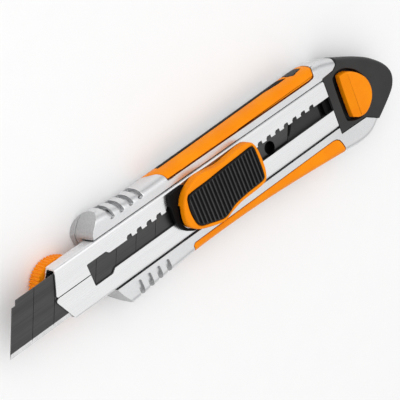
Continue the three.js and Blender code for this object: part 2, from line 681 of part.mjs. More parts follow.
// The wedge under the cap's roof that drives the pawl back as the cap goes down.
function capWedge() {
  const lift = GAP * 1.2;
  const farY = PAWL_ROOM_Y[1] - 0.4;
  const footY = PAWL_CREST_Y + (PAWL_TOP_Z + lift - CAP_BOTTOM_Z) * PAWL_TRAVEL / PRESS_TRAVEL;
  const section = [
    [PAWL_CREST_Y, PAWL_TOP_Z + lift], [footY, CAP_BOTTOM_Z], [farY, CAP_BOTTOM_Z],
    [farY, CAP_CEILING_Z + 0.2], [PAWL_CREST_Y, CAP_CEILING_Z + 0.2],
  ];
  return prismAlongX(section, PAWL_X - PAWL_HALF_WIDTH, PAWL_X + PAWL_HALF_WIDTH);
}

// A bent leaf in its own slot of the carrier, behind the pawl.
function pawlSpringSolid() {
  const low = CARRIER_BOTTOM_Z + 0.8;
  const outline = [[107.2, -3.1], [107.6, -1], [107.8, 1.2], [107.6, 3.2], [107.2, 3.2],
    [107.4, 1.2], [107.2, -1], [106.9, -3.1]];
  return prism([...outline].reverse(), low, 3.6);
}

function sliderCapSolid() {
  const ring = smoothLoop(SLIDER_CAP_EDGE);
  const outer = roundedPlate(
    ring,
    { z: SLIDER_TOP_Z, drop: 1, inset: 0.9 },
    { z: CAP_BOTTOM_Z, drop: 0.4, inset: 0.2 },
    2,
  );
  return subtractAll(outer, [
    prism(insetRing(ring, 1.4), CAP_BOTTOM_Z - 1, CAP_CEILING_Z),
    prism(insetRing(smoothLoop(SLIDER_PAD_EDGE), -GAP / 2), PAD_BASE_Z - GAP, SLIDER_TOP_Z + 1),
    box([80, 90], [-5, 3.4], [CAP_BOTTOM_Z - 1, 4]),
  ]).add(capWedge());
}

// The thumb pad: a rubber plate with ribs across it and a low border round them.
function sliderPadSolid() {
  const low = PAD_VALLEY_Z;
  const high = PAD_CREST_Z;
  const top = [];
  for (let i = 0; i < PAD_RIB_COUNT; i += 1) {
    const x = PAD_FIRST_RIB_X + i * PAD_RIB_PITCH;
    top.push([x, low], [x + 0.25, high], [x + 0.95, high], [x + 1.2, low]);
  }
  const profile = [
    [80, PAD_BASE_Z], [130, PAD_BASE_Z], [130, low], ...top.reverse(), [80, low],
  ];
  const ring = insetRing(smoothLoop(SLIDER_PAD_EDGE), GAP / 2);
  const ribRing = insetRing(ring, PAD_BORDER_WIDTH);
  const border = prism(ring, PAD_BASE_Z, PAD_BORDER_Z).subtract(prism(ribRing, low, high));
  const ribs = prism(insetRing(ring, PAD_BORDER_WIDTH / 2), PAD_BASE_Z, high);
  return border.add(ribs.intersect(prismAlongY(profile, -15, 15)));
}

// A closed coil of round wire that stands on its lower end.
function coilSolid(x, y, radius, wireRadius, lowZ, highZ, turns) {
  const rise = highZ - lowZ - 2 * wireRadius;
  const perTurn = 9;
  const steps = turns * perTurn;
  const points = Array.from({ length: steps + 1 }, (_, i) => {
    const angle = i / perTurn * Math.PI * 2;
    const z = lowZ + wireRadius + rise * i / steps;
    return new THREE.Vector3(x + radius * Math.cos(angle), y + radius * Math.sin(angle), z);
  });
  const section = Array.from({ length: 5 }, (_, i) => {
    const angle = i / 5 * Math.PI * 2;
    return [wireRadius * Math.cos(angle), wireRadius * Math.sin(angle)];
  });
  const extrudePath = new THREE.CatmullRomCurve3(points);
  const options = { steps, extrudePath, bevelEnabled: false };
  return solidOf(new THREE.ExtrudeGeometry(shapeOf(section), options));
}

// ---- magazine and end cap ----

function magazineTraySolid() {
  const floor = box([46, 167.4], [-9.4, 9.4], [-4.6, -3.7]);
  const frontX = SPARE_TIP_X + BLADE_LENGTH + 0.6;
  const block = prism([
    [slantedX(frontX, -9.4), -9.4], [167.4, -9.4], [167.4, 9.4], [slantedX(frontX, 9.4), 9.4],
  ], -4.2, TRAY_TOP_Z);
  const thumbNotch = prism([
    [slantedX(frontX, -1.6) - 1, -1.6], [slantedX(frontX, -1.6) + 0.7, -1.6],
    [slantedX(frontX, 0.6) + 1.4, 0.6], [slantedX(frontX, 3.4) + 1.4, 3.4],
    [slantedX(frontX, 3.4) - 1, 3.4],
  ], TRAY_TOP_Z - 1.5, TRAY_TOP_Z + 1);
  return floor.add(block).subtract(thumbNotch);
}

// A bowed leaf under the spare blades.
function magazineSpringSolid() {
  const steps = 12;
  const thickness = 0.3;
  const arch = (z) => Array.from({ length: steps + 1 }, (_, i) => {
    const along = i / steps;
    const x = MAGAZINE_SPRING_X[0] + (MAGAZINE_SPRING_X[1] - MAGAZINE_SPRING_X[0]) * along;
    return [x, z + 0.85 * Math.sin(along * Math.PI)];
  });
  return prismAlongY([...arch(-3.35), ...arch(-3.35 + thickness).reverse()], -4, 4);
}

function endCapSolid() {
  const recessRing = smoothLoop(RECESS_EDGE);
  const cap = endCapShape().intersect(prism(END_CAP_REGION, BACK_Z - 1, FACE_Z + 1));
  const tongue = box([168, 176], [-9.4, 9.4], [-4.6, -0.6]);
  return subtractAll(cap.add(tongue), [
    prism(insetRing(recessRing, -RECESS_MARGIN), BUTTON_ROOM_Z, FACE_Z + 1),
    box([167, 181], [-3.2, 3.2], [BUTTON_ROOM_Z, -0.15]),
    cylinder(BUTTON_SPRING.x, BUTTON_SPRING.y, 3.1, BUTTON_SPRING.bottomZ - GAP, 0),
  ]);
}

// The D-shaped release: flat top behind a crease, a thumb slope ahead of it.
function buttonSolid() {
  const ring = smoothLoop(BUTTON_EDGE);
  const block = roundedPlate(
    ring,
    { z: BUTTON_TOP_Z, drop: 1, inset: 0.9 },
    { z: BUTTON_BOTTOM_Z, drop: 0.3, inset: 0.2 },
    2,
  );
  const rise = (BUTTON_TOP_Z - BUTTON_FRONT_Z) / (BUTTON_CREASE_X - 181);
  const startZ = BUTTON_TOP_Z - rise * (BUTTON_CREASE_X - 170);
  const slope = prismAlongY([
    [170, startZ], [BUTTON_CREASE_X, BUTTON_TOP_Z], [BUTTON_CREASE_X, 8], [170, 8],
  ], -20, 20);
  return block.subtract(slope);
}

// The catch under the button. Its tooth stands just below the channel's lips.
function latchSolid() {
  const width = [-2.8, 2.8];
  const arm = box([169.4, 183], width, [LATCH_TOP_Z - LATCH_THICKNESS, LATCH_TOP_Z]);
  const tooth = box([169.4, 171], width, [LATCH_TOP_Z - 0.1, FACE_Z - SHEET - GAP]);
  return arm.add(tooth);
}

// ---- assembly ----

const knife = new THREE.Group();

function place(name, solid, material, [x, y, z] = [0, 0, 0]) {
  const mesh = new THREE.Mesh(geometryOf(solid), material);
  mesh.name = name;
  mesh.position.set(x, y, z);
  knife.add(mesh);
}

const grips = gripSolids();
place('body_casting', castingSolid(), CAST_METAL);
place('back_cover', coverSolid(), CAST_METAL);
place('blade_channel', channelSolid(), STAINLESS);
place('upper_grip', grips.upper_grip, ORANGE_PLASTIC);
place('lower_grip', grips.lower_grip, ORANGE_PLASTIC);
place('upper_grip_strip', grips.upper_grip_strip, RUBBER);
place('lower_grip_strip', grips.lower_grip_strip, RUBBER);
place('upper_grip_tip_inlay', grips.upper_grip_tip_inlay, DARK_PLASTIC);
BACK_SCREWS.forEach(([x, y], i) => place(`back_screw_${i + 1}`, backScrewSolid(x, y), SPRING_STEEL));

place('nose_wheel', wheelSolid(), ORANGE_PLASTIC);
place('wheel_screw', wheelScrewSolid(), SPRING_STEEL);
place('clamp_nut', clampNutSolid(), SPRING_STEEL);
place('clamp_pad', clampPadSolid(), SPRING_STEEL);

place('active_blade', bladeSolid(), BLADE_STEEL);
place('spare_blade_1', bladeSolid(), BLADE_STEEL, [SPARE_TIP_X, 0, -BLADE_PITCH_Z]);
place('spare_blade_2', bladeSolid(), BLADE_STEEL, [SPARE_TIP_X, 0, -2 * BLADE_PITCH_Z]);

place('slider_carrier', carrierSolid(), BLACK_PLASTIC);
place('blade_pin', headedPin(BLADE_HOLE.x, BLADE_HOLE.y, 1.9, 2.7), SPRING_STEEL);
place('slide_plate', slidePlateSolid(), SPRING_STEEL);
place('slide_rivet', headedPin(RIVET_X, 0, 1.2, 2), SPRING_STEEL);
place('slider_pawl', pawlSolid(), SPRING_STEEL);
place('pawl_spring', pawlSpringSolid(), SPRING_STEEL);
place('slider_cap', sliderCapSolid(), ORANGE_PLASTIC);
place('slider_pad', sliderPadSolid(), RUBBER);
place('press_spring', coilSolid(PRESS_SPRING_X, 0, 1.8, 0.25, 2.2, 4.85, 3), SPRING_STEEL);

place('magazine_tray', magazineTraySolid(), DARK_PLASTIC);
place('magazine_spring', magazineSpringSolid(), SPRING_STEEL);
place('end_cap', endCapSolid(), DARK_PLASTIC);
place('end_cap_button', buttonSolid(), ORANGE_PLASTIC);
place('button_latch', latchSolid(), BLACK_PLASTIC);
place('button_spring', coilSolid(
  BUTTON_SPRING.x, BUTTON_SPRING.y, 2.3, 0.35, BUTTON_SPRING.bottomZ, BUTTON_BOTTOM_Z - GAP, 6,
), SPRING_STEEL);

// The origin is midway along the length and the width, on the back of the handle.
const bounds = new THREE.Box3().setFromObject(knife);
const middle = bounds.getCenter(new THREE.Vector3());
knife.position.set(-middle.x, -middle.y, -bounds.min.z);

const group = new THREE.Group();
group.add(knife);

export default group;
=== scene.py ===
import json
import math

import bmesh
import bpy
from mathutils import Matrix, Vector
from mathutils.bvhtree import BVHTree


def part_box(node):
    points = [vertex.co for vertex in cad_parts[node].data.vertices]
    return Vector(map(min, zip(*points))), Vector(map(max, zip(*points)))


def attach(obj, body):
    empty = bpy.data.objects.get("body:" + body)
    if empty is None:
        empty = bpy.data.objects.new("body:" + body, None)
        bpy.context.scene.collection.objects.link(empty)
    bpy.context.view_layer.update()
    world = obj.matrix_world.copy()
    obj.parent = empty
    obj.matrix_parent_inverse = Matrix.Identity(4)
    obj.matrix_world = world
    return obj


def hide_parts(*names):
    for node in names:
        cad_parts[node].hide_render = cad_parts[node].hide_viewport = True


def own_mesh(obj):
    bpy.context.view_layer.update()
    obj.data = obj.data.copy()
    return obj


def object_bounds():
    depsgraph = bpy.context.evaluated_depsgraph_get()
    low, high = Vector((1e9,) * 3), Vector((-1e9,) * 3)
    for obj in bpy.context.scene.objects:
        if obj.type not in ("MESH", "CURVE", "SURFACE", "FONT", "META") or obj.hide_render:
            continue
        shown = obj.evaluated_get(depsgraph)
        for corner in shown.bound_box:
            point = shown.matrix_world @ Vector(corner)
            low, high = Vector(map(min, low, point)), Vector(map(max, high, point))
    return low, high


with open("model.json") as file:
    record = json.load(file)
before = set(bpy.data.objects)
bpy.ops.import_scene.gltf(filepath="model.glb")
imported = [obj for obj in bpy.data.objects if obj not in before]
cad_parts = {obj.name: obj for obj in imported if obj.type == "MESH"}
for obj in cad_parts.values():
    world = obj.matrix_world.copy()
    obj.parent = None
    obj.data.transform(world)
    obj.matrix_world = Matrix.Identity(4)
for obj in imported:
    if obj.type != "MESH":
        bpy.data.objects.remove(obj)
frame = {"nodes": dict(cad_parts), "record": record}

CAD_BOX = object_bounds()

# ---- places ----
# The pieces are laid out in knife millimetres: X = 0 at the blade tip, running to the
# tail, Y = 0 on the blade's centre line, Z = 0 in the blade plane. ORIGIN is that point
# in the frame, in metres.

MM = 0.001
GAP = 0.3
FACE_Z = 1.35
BACK_Z = -13
SPLIT_Z = -9.6
BLADE_HALF_WIDTH = 9

blade_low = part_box("active_blade")[0]
channel_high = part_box("blade_channel")[1]
ORIGIN = Vector((
    blade_low.x,
    blade_low.y + BLADE_HALF_WIDTH * MM,
    channel_high.z - FACE_Z * MM,
))


def spot(x, y, z):
    """A point in knife millimetres as a point of the frame."""
    return ORIGIN + Vector((x, y, z)) * MM


# ---- driving dimensions ----

BLADE_LENGTH = 100
BLADE_HALF_THICKNESS = 0.25
BLADE_SLANT = 0.556
BLADE_BEVEL = 1.7
SEGMENT_LENGTH = 10
SEGMENT_COUNT = 9
BLADE_EDGE_HALF_THICKNESS = 0.04
# Length and depth of the step at the front of the blade's back.
BLADE_STEP = (1.6, 1.8)
# X, Y and radius of the hole for the slider's pin.
BLADE_HOLE = (94.3, -0.6, 2.7)
SCORE_HALF_WIDTH = 0.17
SCORE_DEPTH = 0.13
SPARE_TIP_X = 43.6

SHEET = 0.8
CHANNEL_HALF_WIDTH = 10.7
CHANNEL_BOTTOM_Z = -5.7
CHANNEL_FOLD_RADIUS = 1.2
CHANNEL_START_X = 24
CHANNEL_END_X = 173.1
SEAM_Y = 0.5
SEAM_HALF_GAP = 0.15
SLOT_START_X = 55
SLOT_LOW_Y = -2.9
SLOT_HIGH_Y = 3.5
NOTCH_FIRST_X = 62.9
NOTCH_PITCH = 5
NOTCH_COUNT = 21
NOTCH_WIDTH = 2.5
NOTCH_DEPTH = 1.4
NOTCH_CHAMFER = 0.7

GROOVE_HALF_WIDTH = CHANNEL_HALF_WIDTH + 0.4
GROOVE_FLOOR_Z = CHANNEL_BOTTOM_Z - GAP
FLOOR_THICKNESS = 1.8
NOSE_WALL_SLANT = 0.08
WING_WALL_END_X = 58
FINGER_GROOVES_END_X = 80
POCKET_X = (50, 168)
POCKET_Y = (-10.4, 10.4)
POCKET_TOP_Z = GROOVE_FLOOR_Z - FLOOR_THICKNESS
# Ranges that are wider than the knife, for tools that cut right through it.
ALL_X = (0, 230)
ALL_Y = (-40, 40)
BEYOND_UPPER_Y = 25
BEYOND_LOWER_Y = -30

GRIP_INNER_Y = 14.4
GRIP_BOTTOM_Z = -9.3
GRIP_ROOM_TOP_Z = 3
STRIP_INNER_Y = 16.2
# How much further out the lower strip starts.
LOWER_STRIP_SET_OUT = 1
STRIP_TOP_Z = -6.2

FINGER_GROOVE_X = 59.7
FINGER_GROOVE_PITCH = 4.8
FINGER_GROOVE_COUNT = 4
FINGER_GROOVE_WIDTH = 2.2
FINGER_GROOVE_DEPTH = 1.3
FINGER_GROOVE_LOW_Z = -8
FINGER_GROOVE_CORNER = 0.9
# Lowest and highest Y of the grooves in each wing, and how far they stand ahead.
FINGER_GROOVE_SPANS = ((14, 25, 0), (-25, -12.9, -0.6))

WHEEL_X = 33.4
WHEEL_RADIUS = 11
WHEEL_TOP_Z = -6.1
WHEEL_BOTTOM_Z = -12.6
WHEEL_TEETH = 50
WHEEL_TOOTH_DEPTH = 0.5
# Share of the pitch and height, at points round one tooth of the knurling.
WHEEL_TOOTH = ((0, 1), (0.22, 0.92), (0.4, 0.1), (0.55, 0), (0.7, 0.1), (0.88, 0.92))
WHEEL_BEVEL = 0.8
WHEEL_HEAD_ROOM_RADIUS = 3.1
WHEEL_HEAD_ROOM_DEPTH = 2
WHEEL_FACE_GROOVE_RADII = (4.4, 8.4)
WHEEL_FACE_GROOVE_DEPTH = 0.6
WHEEL_SCREW_RADIUS = 1.5
WHEEL_SCREW_HEAD_RADIUS = 2.8
WHEEL_SCREW_HEAD_HEIGHT = 1.5
WHEEL_SCREW_TOP_Z = -1.3
WHEEL_SCREW_SLOT_HALF_WIDTH = 0.35
NUT_RADIUS = 3.6
NUT_HEIGHT = 1.7
CLAMP_PAD_RADIUS = 4.2
CLAMP_PAD_LOW_Z = -2.55
CLAMP_PAD_HIGH_Z = -0.6
CLAMP_PAD_BORE_TOP_Z = -0.95

BACK_SCREWS = ((57, 7), (57, -7), (160, 7), (160, -7))
SCREW_RADIUS = 1.2
SCREW_HEAD_RADIUS = 2.3
SCREW_BOSS_RADIUS = 3
SCREW_HEAD_LOW_Z = BACK_Z + 0.3
SCREW_HEAD_TOP_Z = BACK_Z + 1.7
SCREW_HEAD_ROOM_Z = BACK_Z + 2
SCREW_TIP_Z = GROOVE_FLOOR_Z - 1
SCREW_BORE_TOP_Z = GROOVE_FLOOR_Z - 0.6
# Half length, half width and depth of the cross recess.
SCREW_CROSS = (1.5, 0.3, 0.7)

PRESS_TRAVEL = 1
PAWL_TRAVEL = 1.6
PAWL_X = NOTCH_FIRST_X + 8 * NOTCH_PITCH
PAWL_HALF_WIDTH = 2
PAWL_CREST_Y = 0.7
PAWL_TOP_Z = 3.9
PAWL_ROOM_Y = (-3.4, 5.2)
PAWL_SPRING_ROOM = ((106.6, 108.4), (-3.4, 3.6))
PIN_RADIUS = 1.9
PIN_HEAD_RADIUS = 2.7
RIVET_X = 122
RIVET_RADIUS = 1.2
RIVET_HEAD_RADIUS = 2
PIN_HEAD_ROOM_Z = 2.6
PIN_HEAD_LOW_Z = 2.9
PIN_HEAD_TOP_Z = 3.6
PRESS_SPRING = {
    "x": 115, "y": 0, "radius": 1.8, "wire": 0.25, "low": 2.2, "high": 4.85, "turns": 3,
}
PRESS_SPRING_WELL_RADIUS = 2.5
PRESS_SPRING_WELL_Z = 1.9
CARRIER_BOTTOM_Z = FACE_Z + GAP
CARRIER_TOP_Z = 3.8
CARRIER_PLATE = ((91, 124.4), (-6.6, 6.6))
CARRIER_TONGUE = ((83.4, 93), (-4.4, 2.8))
CARRIER_TONGUE_TOP_Z = 2.6
CARRIER_NOSE_TOP_Z = 3.4
CARRIER_NECK_X = (112.2, 125)
CARRIER_CLEARANCE = 0.4
ABOVE_CARRIER_Z = 5
CAP_BOTTOM_Z = CARRIER_BOTTOM_Z + PRESS_TRAVEL
CAP_CEILING_Z = 5.15
CAP_WALL = 1.4
CAP_FRONT_OPENING = ((80, 90), (-5, 3.4))
CAP_FRONT_OPENING_TOP_Z = 4
WEDGE_LIFT = 1.2 * GAP
WEDGE_HIGH_Y = 4.8
SLIDER_TOP_Z = 7
PAD_BASE_Z = 6.4
PAD_VALLEY_Z = 6.9
PAD_CREST_Z = 7.7
PAD_BORDER_Z = 7.4
PAD_BORDER_WIDTH = 0.8
PAD_RANGE_X = (80, 130)
PAD_RANGE_Y = (-15, 15)
PAD_FIRST_RIB_X = 88.9
PAD_RIB_PITCH = 1.8
PAD_RIB_COUNT = 20
# Share of the pitch that a rib takes up. A lower fullness makes its crown flatter.
PAD_RIB_SHARE = 0.62
PAD_RIB_FULLNESS = 0.55
# Depth below the crests down to which the upward faces of the rubber are paler.
PAD_CREST_DEPTH = 0.25

BUTTON_TOP_Z = 4
BUTTON_BOTTOM_Z = -0.4
BUTTON_ROOM_Z = -3.3
BUTTON_CREASE_X = 184
BUTTON_FRONT = (181, 2.1)
BUTTON_SLOPE_START_X = 170
RECESS_MARGIN = 0.9
CATCH_ROOM = ((167, 181), (-3.2, 3.2))
CATCH_ROOM_TOP_Z = -0.15
BUTTON_SPRING = {
    "x": 187.5, "y": -1.5, "radius": 2.3, "wire": 0.35, "low": -9.2, "high": -0.7, "turns": 6,
}
BUTTON_SPRING_WELL_RADIUS = 3.1

TRAY_X = (46, 167.4)
TRAY_HALF_WIDTH = 9.4
TRAY_BOTTOM_Z = -4.6
TRAY_FLOOR_Z = -3.7
TRAY_BLOCK_LOW_Z = -4.2
TRAY_TOP_Z = -0.6
TRAY_NOTCH_DEPTH = 1.5
# Y of each corner of the thumb notch, and how far it lies behind the front of the stop.
TRAY_NOTCH = ((-1.6, -1), (-1.6, 0.7), (0.6, 1.4), (3.4, 1.4), (3.4, -1))
TRAY_NOTCH_CORNER = 0.4
END_CAP_TONGUE_X = (168, 176)

# Rounded edges of plates, as (drop, inset): how far the elliptical corner reaches towards
# the plate's middle plane, and inwards.
HANDLE_FRONT_EDGE = (5.3, 3.4)
HANDLE_BACK_EDGE = (7.4, 5)
END_CAP_FRONT_EDGE = (3.4, 2.2)
CAP_TOP_EDGE = (1.0, 0.9)
CAP_FOOT_EDGE = (0.4, 0.2)
PAD_TOP_EDGE = (0.3, 0.3)
PAD_FOOT_EDGE = (0.1, 0.1)
BUTTON_TOP_EDGE = (1.0, 0.9)
BUTTON_FOOT_EDGE = (0.3, 0.2)

# The camera and the floor are laid out in knife millimetres, and the lamp in metres.
CAMERA_LENS = 130.65
CAMERA_PLACE = (-171.96, 212.55, 439.22)
CAMERA_RIGHT = (0.7115, -0.3519, 0.6089)
CAMERA_BACK = (-0.484, 0.383, 0.787)
FLOOR_HALF_SIZE = 4000
KEY_LAMP_PLACE = (-0.3, 0.8, 1.0)
KEY_LAMP_SIZE = 1.7
KEY_LAMP_POWER = 5.4
HORIZON_TONE = 0.42
OVERHEAD_TONE = 1.0
OVERHEAD_HEIGHT = 0.8

# Outlines. Those named SIDE are (x, z), seen from the side, and the others are (x, y).
# The EDGE lists are points that a smooth curve runs through.
HANDLE_LOWER_EDGE = [
    (24, -20.4), (54, -20.7), (75, -19.3), (95, -18.6), (121, -19), (145, -20.5),
    (170, -22.7), (182, -23.9), (190, -22.8), (196, -19.2),
]
HANDLE_TAIL_EDGE = [
    (196, -19.2), (203, -14.8), (208.2, -10.6), (210.3, -5.6), (209, -0.8), (204.5, 4.2),
    (197.6, 9.1), (184.7, 15.2),
]
HANDLE_UPPER_EDGE = [
    (184.7, 15.2), (177, 17.6), (168, 18.6), (155, 18.4), (120, 17.7), (85, 17.1),
    (70, 17.1), (61, 18), (53, 18.9), (24, 18.7),
]
SLIDER_CAP_EDGE = [
    (85.1, -3.5), (88.4, -7.6), (94, -10), (101, -11.7), (106, -10.4), (112, -9.2),
    (121, -8.9), (125.6, -8), (127.4, -4.6), (127.8, 1), (127.2, 6.6), (125.2, 9.6),
    (121, 10.3), (115, 9.8), (108, 9.3), (98.5, 10.7), (94, 9.8), (89.5, 7.5), (86.2, 3),
]
SLIDER_PAD_EDGE = [
    (88.2, -2), (89.6, -6.6), (95, -8.6), (101, -10.2), (104.8, -9.4), (108.4, -8.1),
    (114.9, -7.3), (122.4, -7), (124.8, -6.5), (125.6, -5), (125.9, 0), (125.8, 5.6),
    (125.4, 7.5), (124, 8.2), (118, 7.95), (112.5, 7.7), (106, 7.4), (99.7, 7),
    (92, 6.8), (89.4, 5.9), (88.3, 2.6),
]
RECESS_EDGE = [
    (178.7, -8), (179.9, -10.5), (183.6, -11.8), (187.3, -11.9), (191, -10), (193.4, -6.8),
    (194.2, -3), (193.3, 1.6), (190.3, 5.9), (185.8, 8.9), (182.3, 9.7), (179.6, 8.9),
    (178.7, 6.6),
]
BUTTON_EDGE = [
    (181, -8.4), (181.9, -10.6), (184.6, -11.6), (187.6, -11.4), (190.6, -9.7), (193.1, -6.8),
    (194.2, -3), (193.4, 1.3), (190.7, 5), (187, 7.9), (184, 9), (182, 8.8), (181, 7),
]
UPPER_GRIP_SIDE = [
    (87.6, 0), (86.4, -3), (84.4, -5.5), (82.6, GRIP_BOTTOM_Z), (169.2, GRIP_BOTTOM_Z),
    (170.5, -7.8), (171.2, -5.4), (171.3, -2.8), (170.7, -0.6), (169.4, 1), (167, 2.4), (88, 2.4),
]
LOWER_GRIP_PLAN = [
    (89.6, -26), (174, -26), (171.6, -17.4), (170.8, -15.8), (169.4, -14.8),
    (167.6, -GRIP_INNER_Y), (88.2, -GRIP_INNER_Y), (87.2, -15.2),
]
UPPER_GRIP_PLAN = [
    (80, GRIP_INNER_Y), (166.4, GRIP_INNER_Y), (168.4, 14.7), (169.8, 15.6), (170.8, 17),
    (171.6, 25), (80, 25),
]
STRIP_SIDE = [
    (90, GRIP_BOTTOM_Z), (157.8, GRIP_BOTTOM_Z), (160.2, -5), (155.6, -4.9), (148, STRIP_TOP_Z),
    (90, STRIP_TOP_Z),
]
TIP_INLAY_SIDE = [
    (161.9, GRIP_BOTTOM_Z), (168.2, GRIP_BOTTOM_Z), (168.5, -4.5), (163, -2.9), (161.6, -4.9),
]
END_CAP_REGION = [
    (173.4, -13.8), (188.3, -14.1), (194.2, -17.7), (199, -22.4), (216, -22), (216, 22),
    (189, 22), (182.3, 13.4), (179.6, 11.8), (173.4, 11.6),
]
AHEAD_OF_WINGS = [
    (10, -30), (60, -30), (55.6, -21.4), (53.2, -18.3), (50.7, -14), (49.8, -12.2),
    (49.5, -10.6), (48.8, 11.4), (49.2, 12.7), (50.4, 14.4), (52.8, 16.8), (56.2, 18.9),
    (64, 22), (64, 27), (10, 27),
]
AHEAD_OF_LIPS = [
    (20, -12), (30.1, -12), (29.3, -9.9), (25.4, -1.4), (25.2, -0.7), (25.6, -0.1),
    (26.5, 0.36), (26.5, 0.64), (26, 1.1), (26, 1.6), (26.5, 2.6), (29.5, 10.2), (30, 12),
    (20, 12),
]
AHEAD_OF_CHANNEL_FLOOR = [
    (20, -12), (31.6, -12), (27.3, -6.5), (27.3, 6.5), (31.6, 12), (20, 12),
]
NOSE_WINDOW = [
    (42, -4.4), (50.6, -4.4), (52.3, SLOT_LOW_Y), (56, SLOT_LOW_Y), (56, SLOT_HIGH_Y),
    (52.6, SLOT_HIGH_Y), (51.4, 4.7), (42.1, 4.7),
]
NOSE_WINDOW_CORNER = 0.45
CARRIER_NOSE = [
    (82.8, -3.6), (85, -6.8), (88.6, -8.9), (92, -9.4), (92, 9.8), (88.5, 9.7), (84.2, 9.2),
    (83, 5.4), (82.4, 0),
]
CARRIER_NOSE_CORNER = 0.8


# ---- plan curves ----

def smooth(points, per_span=8, closed=False):
    """An even Catmull-Rom curve through the points, as a list of points."""
    count = len(points)
    at = (lambda i: points[i % count]) if closed else (lambda i: points[max(0, min(count - 1, i))])
    curve = []
    for span in range(count if closed else count - 1):
        p0, p1, p2, p3 = (at(span + offset) for offset in (-1, 0, 1, 2))
        for step in range(per_span):
            t = step / per_span
            curve.append(tuple(
                (2 * t**3 - 3 * t**2 + 1) * b + (t**3 - 2 * t**2 + t) * (c - a) / 2
                + (3 * t**2 - 2 * t**3) * c + (t**3 - t**2) * (d - b) / 2
                for a, b, c, d in zip(p0, p1, p2, p3)
            ))
    return curve if closed else curve + [points[-1]]


def inset(ring, depth):
    """Moves each corner of a counter-clockwise ring inwards, or outwards by a negative depth."""
    moved = []
    for i, (x, y) in enumerate(ring):
        from_x, from_y = ring[i - 1]
        to_x, to_y = ring[(i + 1) % len(ring)]
        length = math.hypot(to_x - from_x, to_y - from_y)
        moved.append((x - depth * (to_y - from_y) / length, y + depth * (to_x - from_x) / length))
    return moved


def grown(ring, distance):
    """A counter-clockwise ring grown by the same distance on every side, with mitred corners."""
    moved = []
    for i, corner in enumerate(ring):
        corner = Vector(corner)
        before = (corner - Vector(ring[i - 1])).normalized()
        after = (Vector(ring[(i + 1) % len(ring)]) - corner).normalized()
        across = Vector((before.y + after.y, -before.x - after.x))
        moved.append(tuple(corner + across * (distance / (1 + before.dot(after)))))
    return moved


def rounded(ring, radius, steps=4):
    """The ring with each corner replaced by a short curve."""
    out = []
    for i, corner in enumerate(ring):
        corner = Vector(corner)
        before = Vector(ring[i - 1]) - corner
        after = Vector(ring[(i + 1) % len(ring)]) - corner
        reach = min(radius, before.length * 0.45, after.length * 0.45)
        start = corner + before.normalized() * reach
        end = corner + after.normalized() * reach
        for step in range(steps + 1):
            t = step / steps
            out.append(tuple((1 - t)**2 * start + 2 * t * (1 - t) * corner + t**2 * end))
    return out


def arc(cy, cz, radius, from_angle, to_angle, steps=8):
    """Points on a circle, between two angles in degrees."""
    sweep = to_angle - from_angle
    angles = [math.radians(from_angle + sweep * i / steps) for i in range(steps + 1)]
    return [(cy + radius * math.cos(a), cz + radius * math.sin(a)) for a in angles]


HANDLE_RING = [
    *smooth(HANDLE_LOWER_EDGE, 6)[:-1], *smooth(HANDLE_TAIL_EDGE, 6)[:-1],
    *smooth(HANDLE_UPPER_EDGE, 6),
]


# ---- solid tools ----

def solid(name, points, faces):
    """A mesh object from points in knife millimetres, with its faces turned outwards."""
    mesh = bpy.data.meshes.new(name)
    mesh.from_pydata([spot(*p) for p in points], [], faces)
    made = bpy.data.objects.new(name, mesh)
    bpy.context.scene.collection.objects.link(made)
    work = bmesh.new()
    work.from_mesh(mesh)
    bmesh.ops.recalc_face_normals(work, faces=work.faces)
    work.to_mesh(mesh)
    work.free()
    return made


def loft(rings, name="tool"):
    """A solid through rings of (x, y, z) points of equal length, with flat ends."""
    count = len(rings[0])
    faces = [tuple(range(count))[::-1], tuple(range((len(rings) - 1) * count, len(rings) * count))]
    for layer in range(len(rings) - 1):
        for i in range(count):
            a = layer * count + i
            b = layer * count + (i + 1) % count
            faces.append((a, b, b + count, a + count))
    return solid(name, [p for ring in rings for p in ring], faces)


PLACE = {
    "Z": lambda u, v, w: (u, v, w),
    "Y": lambda u, v, w: (u, w, v),
    "X": lambda u, v, w: (w, u, v),
}


def prism(ring, low, high, along="Z", name="tool"):
    """A straight prism: the ring is (x, y) along Z, (x, z) along Y or (y, z) along X."""
    place = PLACE[along]
    return loft([[place(u, v, w) for u, v in ring] for w in (low, high)], name)


def block(xs, ys, zs, name="tool"):
    ring = [(xs[0], ys[0]), (xs[1], ys[0]), (xs[1], ys[1]), (xs[0], ys[1])]
    return prism(ring, zs[0], zs[1], name=name)


def turned(x, y, profile, name="tool", sides=40):
    """A body turned round an upright axis, from (radius, z) points from its foot to its top."""
    rings = []
    for radius, z in profile:
        turn = [math.pi / 2 + 2 * math.pi * i / sides for i in range(sides)]
        rings.append([(x + radius * math.cos(a), y + radius * math.sin(a), z) for a in turn])
    return loft(rings, name)


def round_hole(x, y, radius, low, high, sides=40):
    return turned(x, y, [(radius, low), (radius, high)], sides=sides)


def coil(name, x, y, radius, wire, low, high, turns):
    """A compression spring of round wire with closed ends."""
    per_turn = 24
    around = 10
    steps = turns * per_turn
    rise = high - low - 2 * wire
    rings = []
    for i in range(steps + 1):
        along = i / steps
        angle = i / per_turn * 2 * math.pi
        z = low + wire + rise * (along - math.sin(2 * math.pi * along) * 0.08)
        outward = Vector((math.cos(angle), math.sin(angle), 0))
        middle = Vector((x, y, z)) + outward * radius
        circle = [2 * math.pi * k / around for k in range(around)]
        rings.append([
            tuple(middle + wire * (outward * math.cos(a) + Vector((0, 0, 1)) * math.sin(a)))
            for a in circle
        ])
    return loft(rings, name)


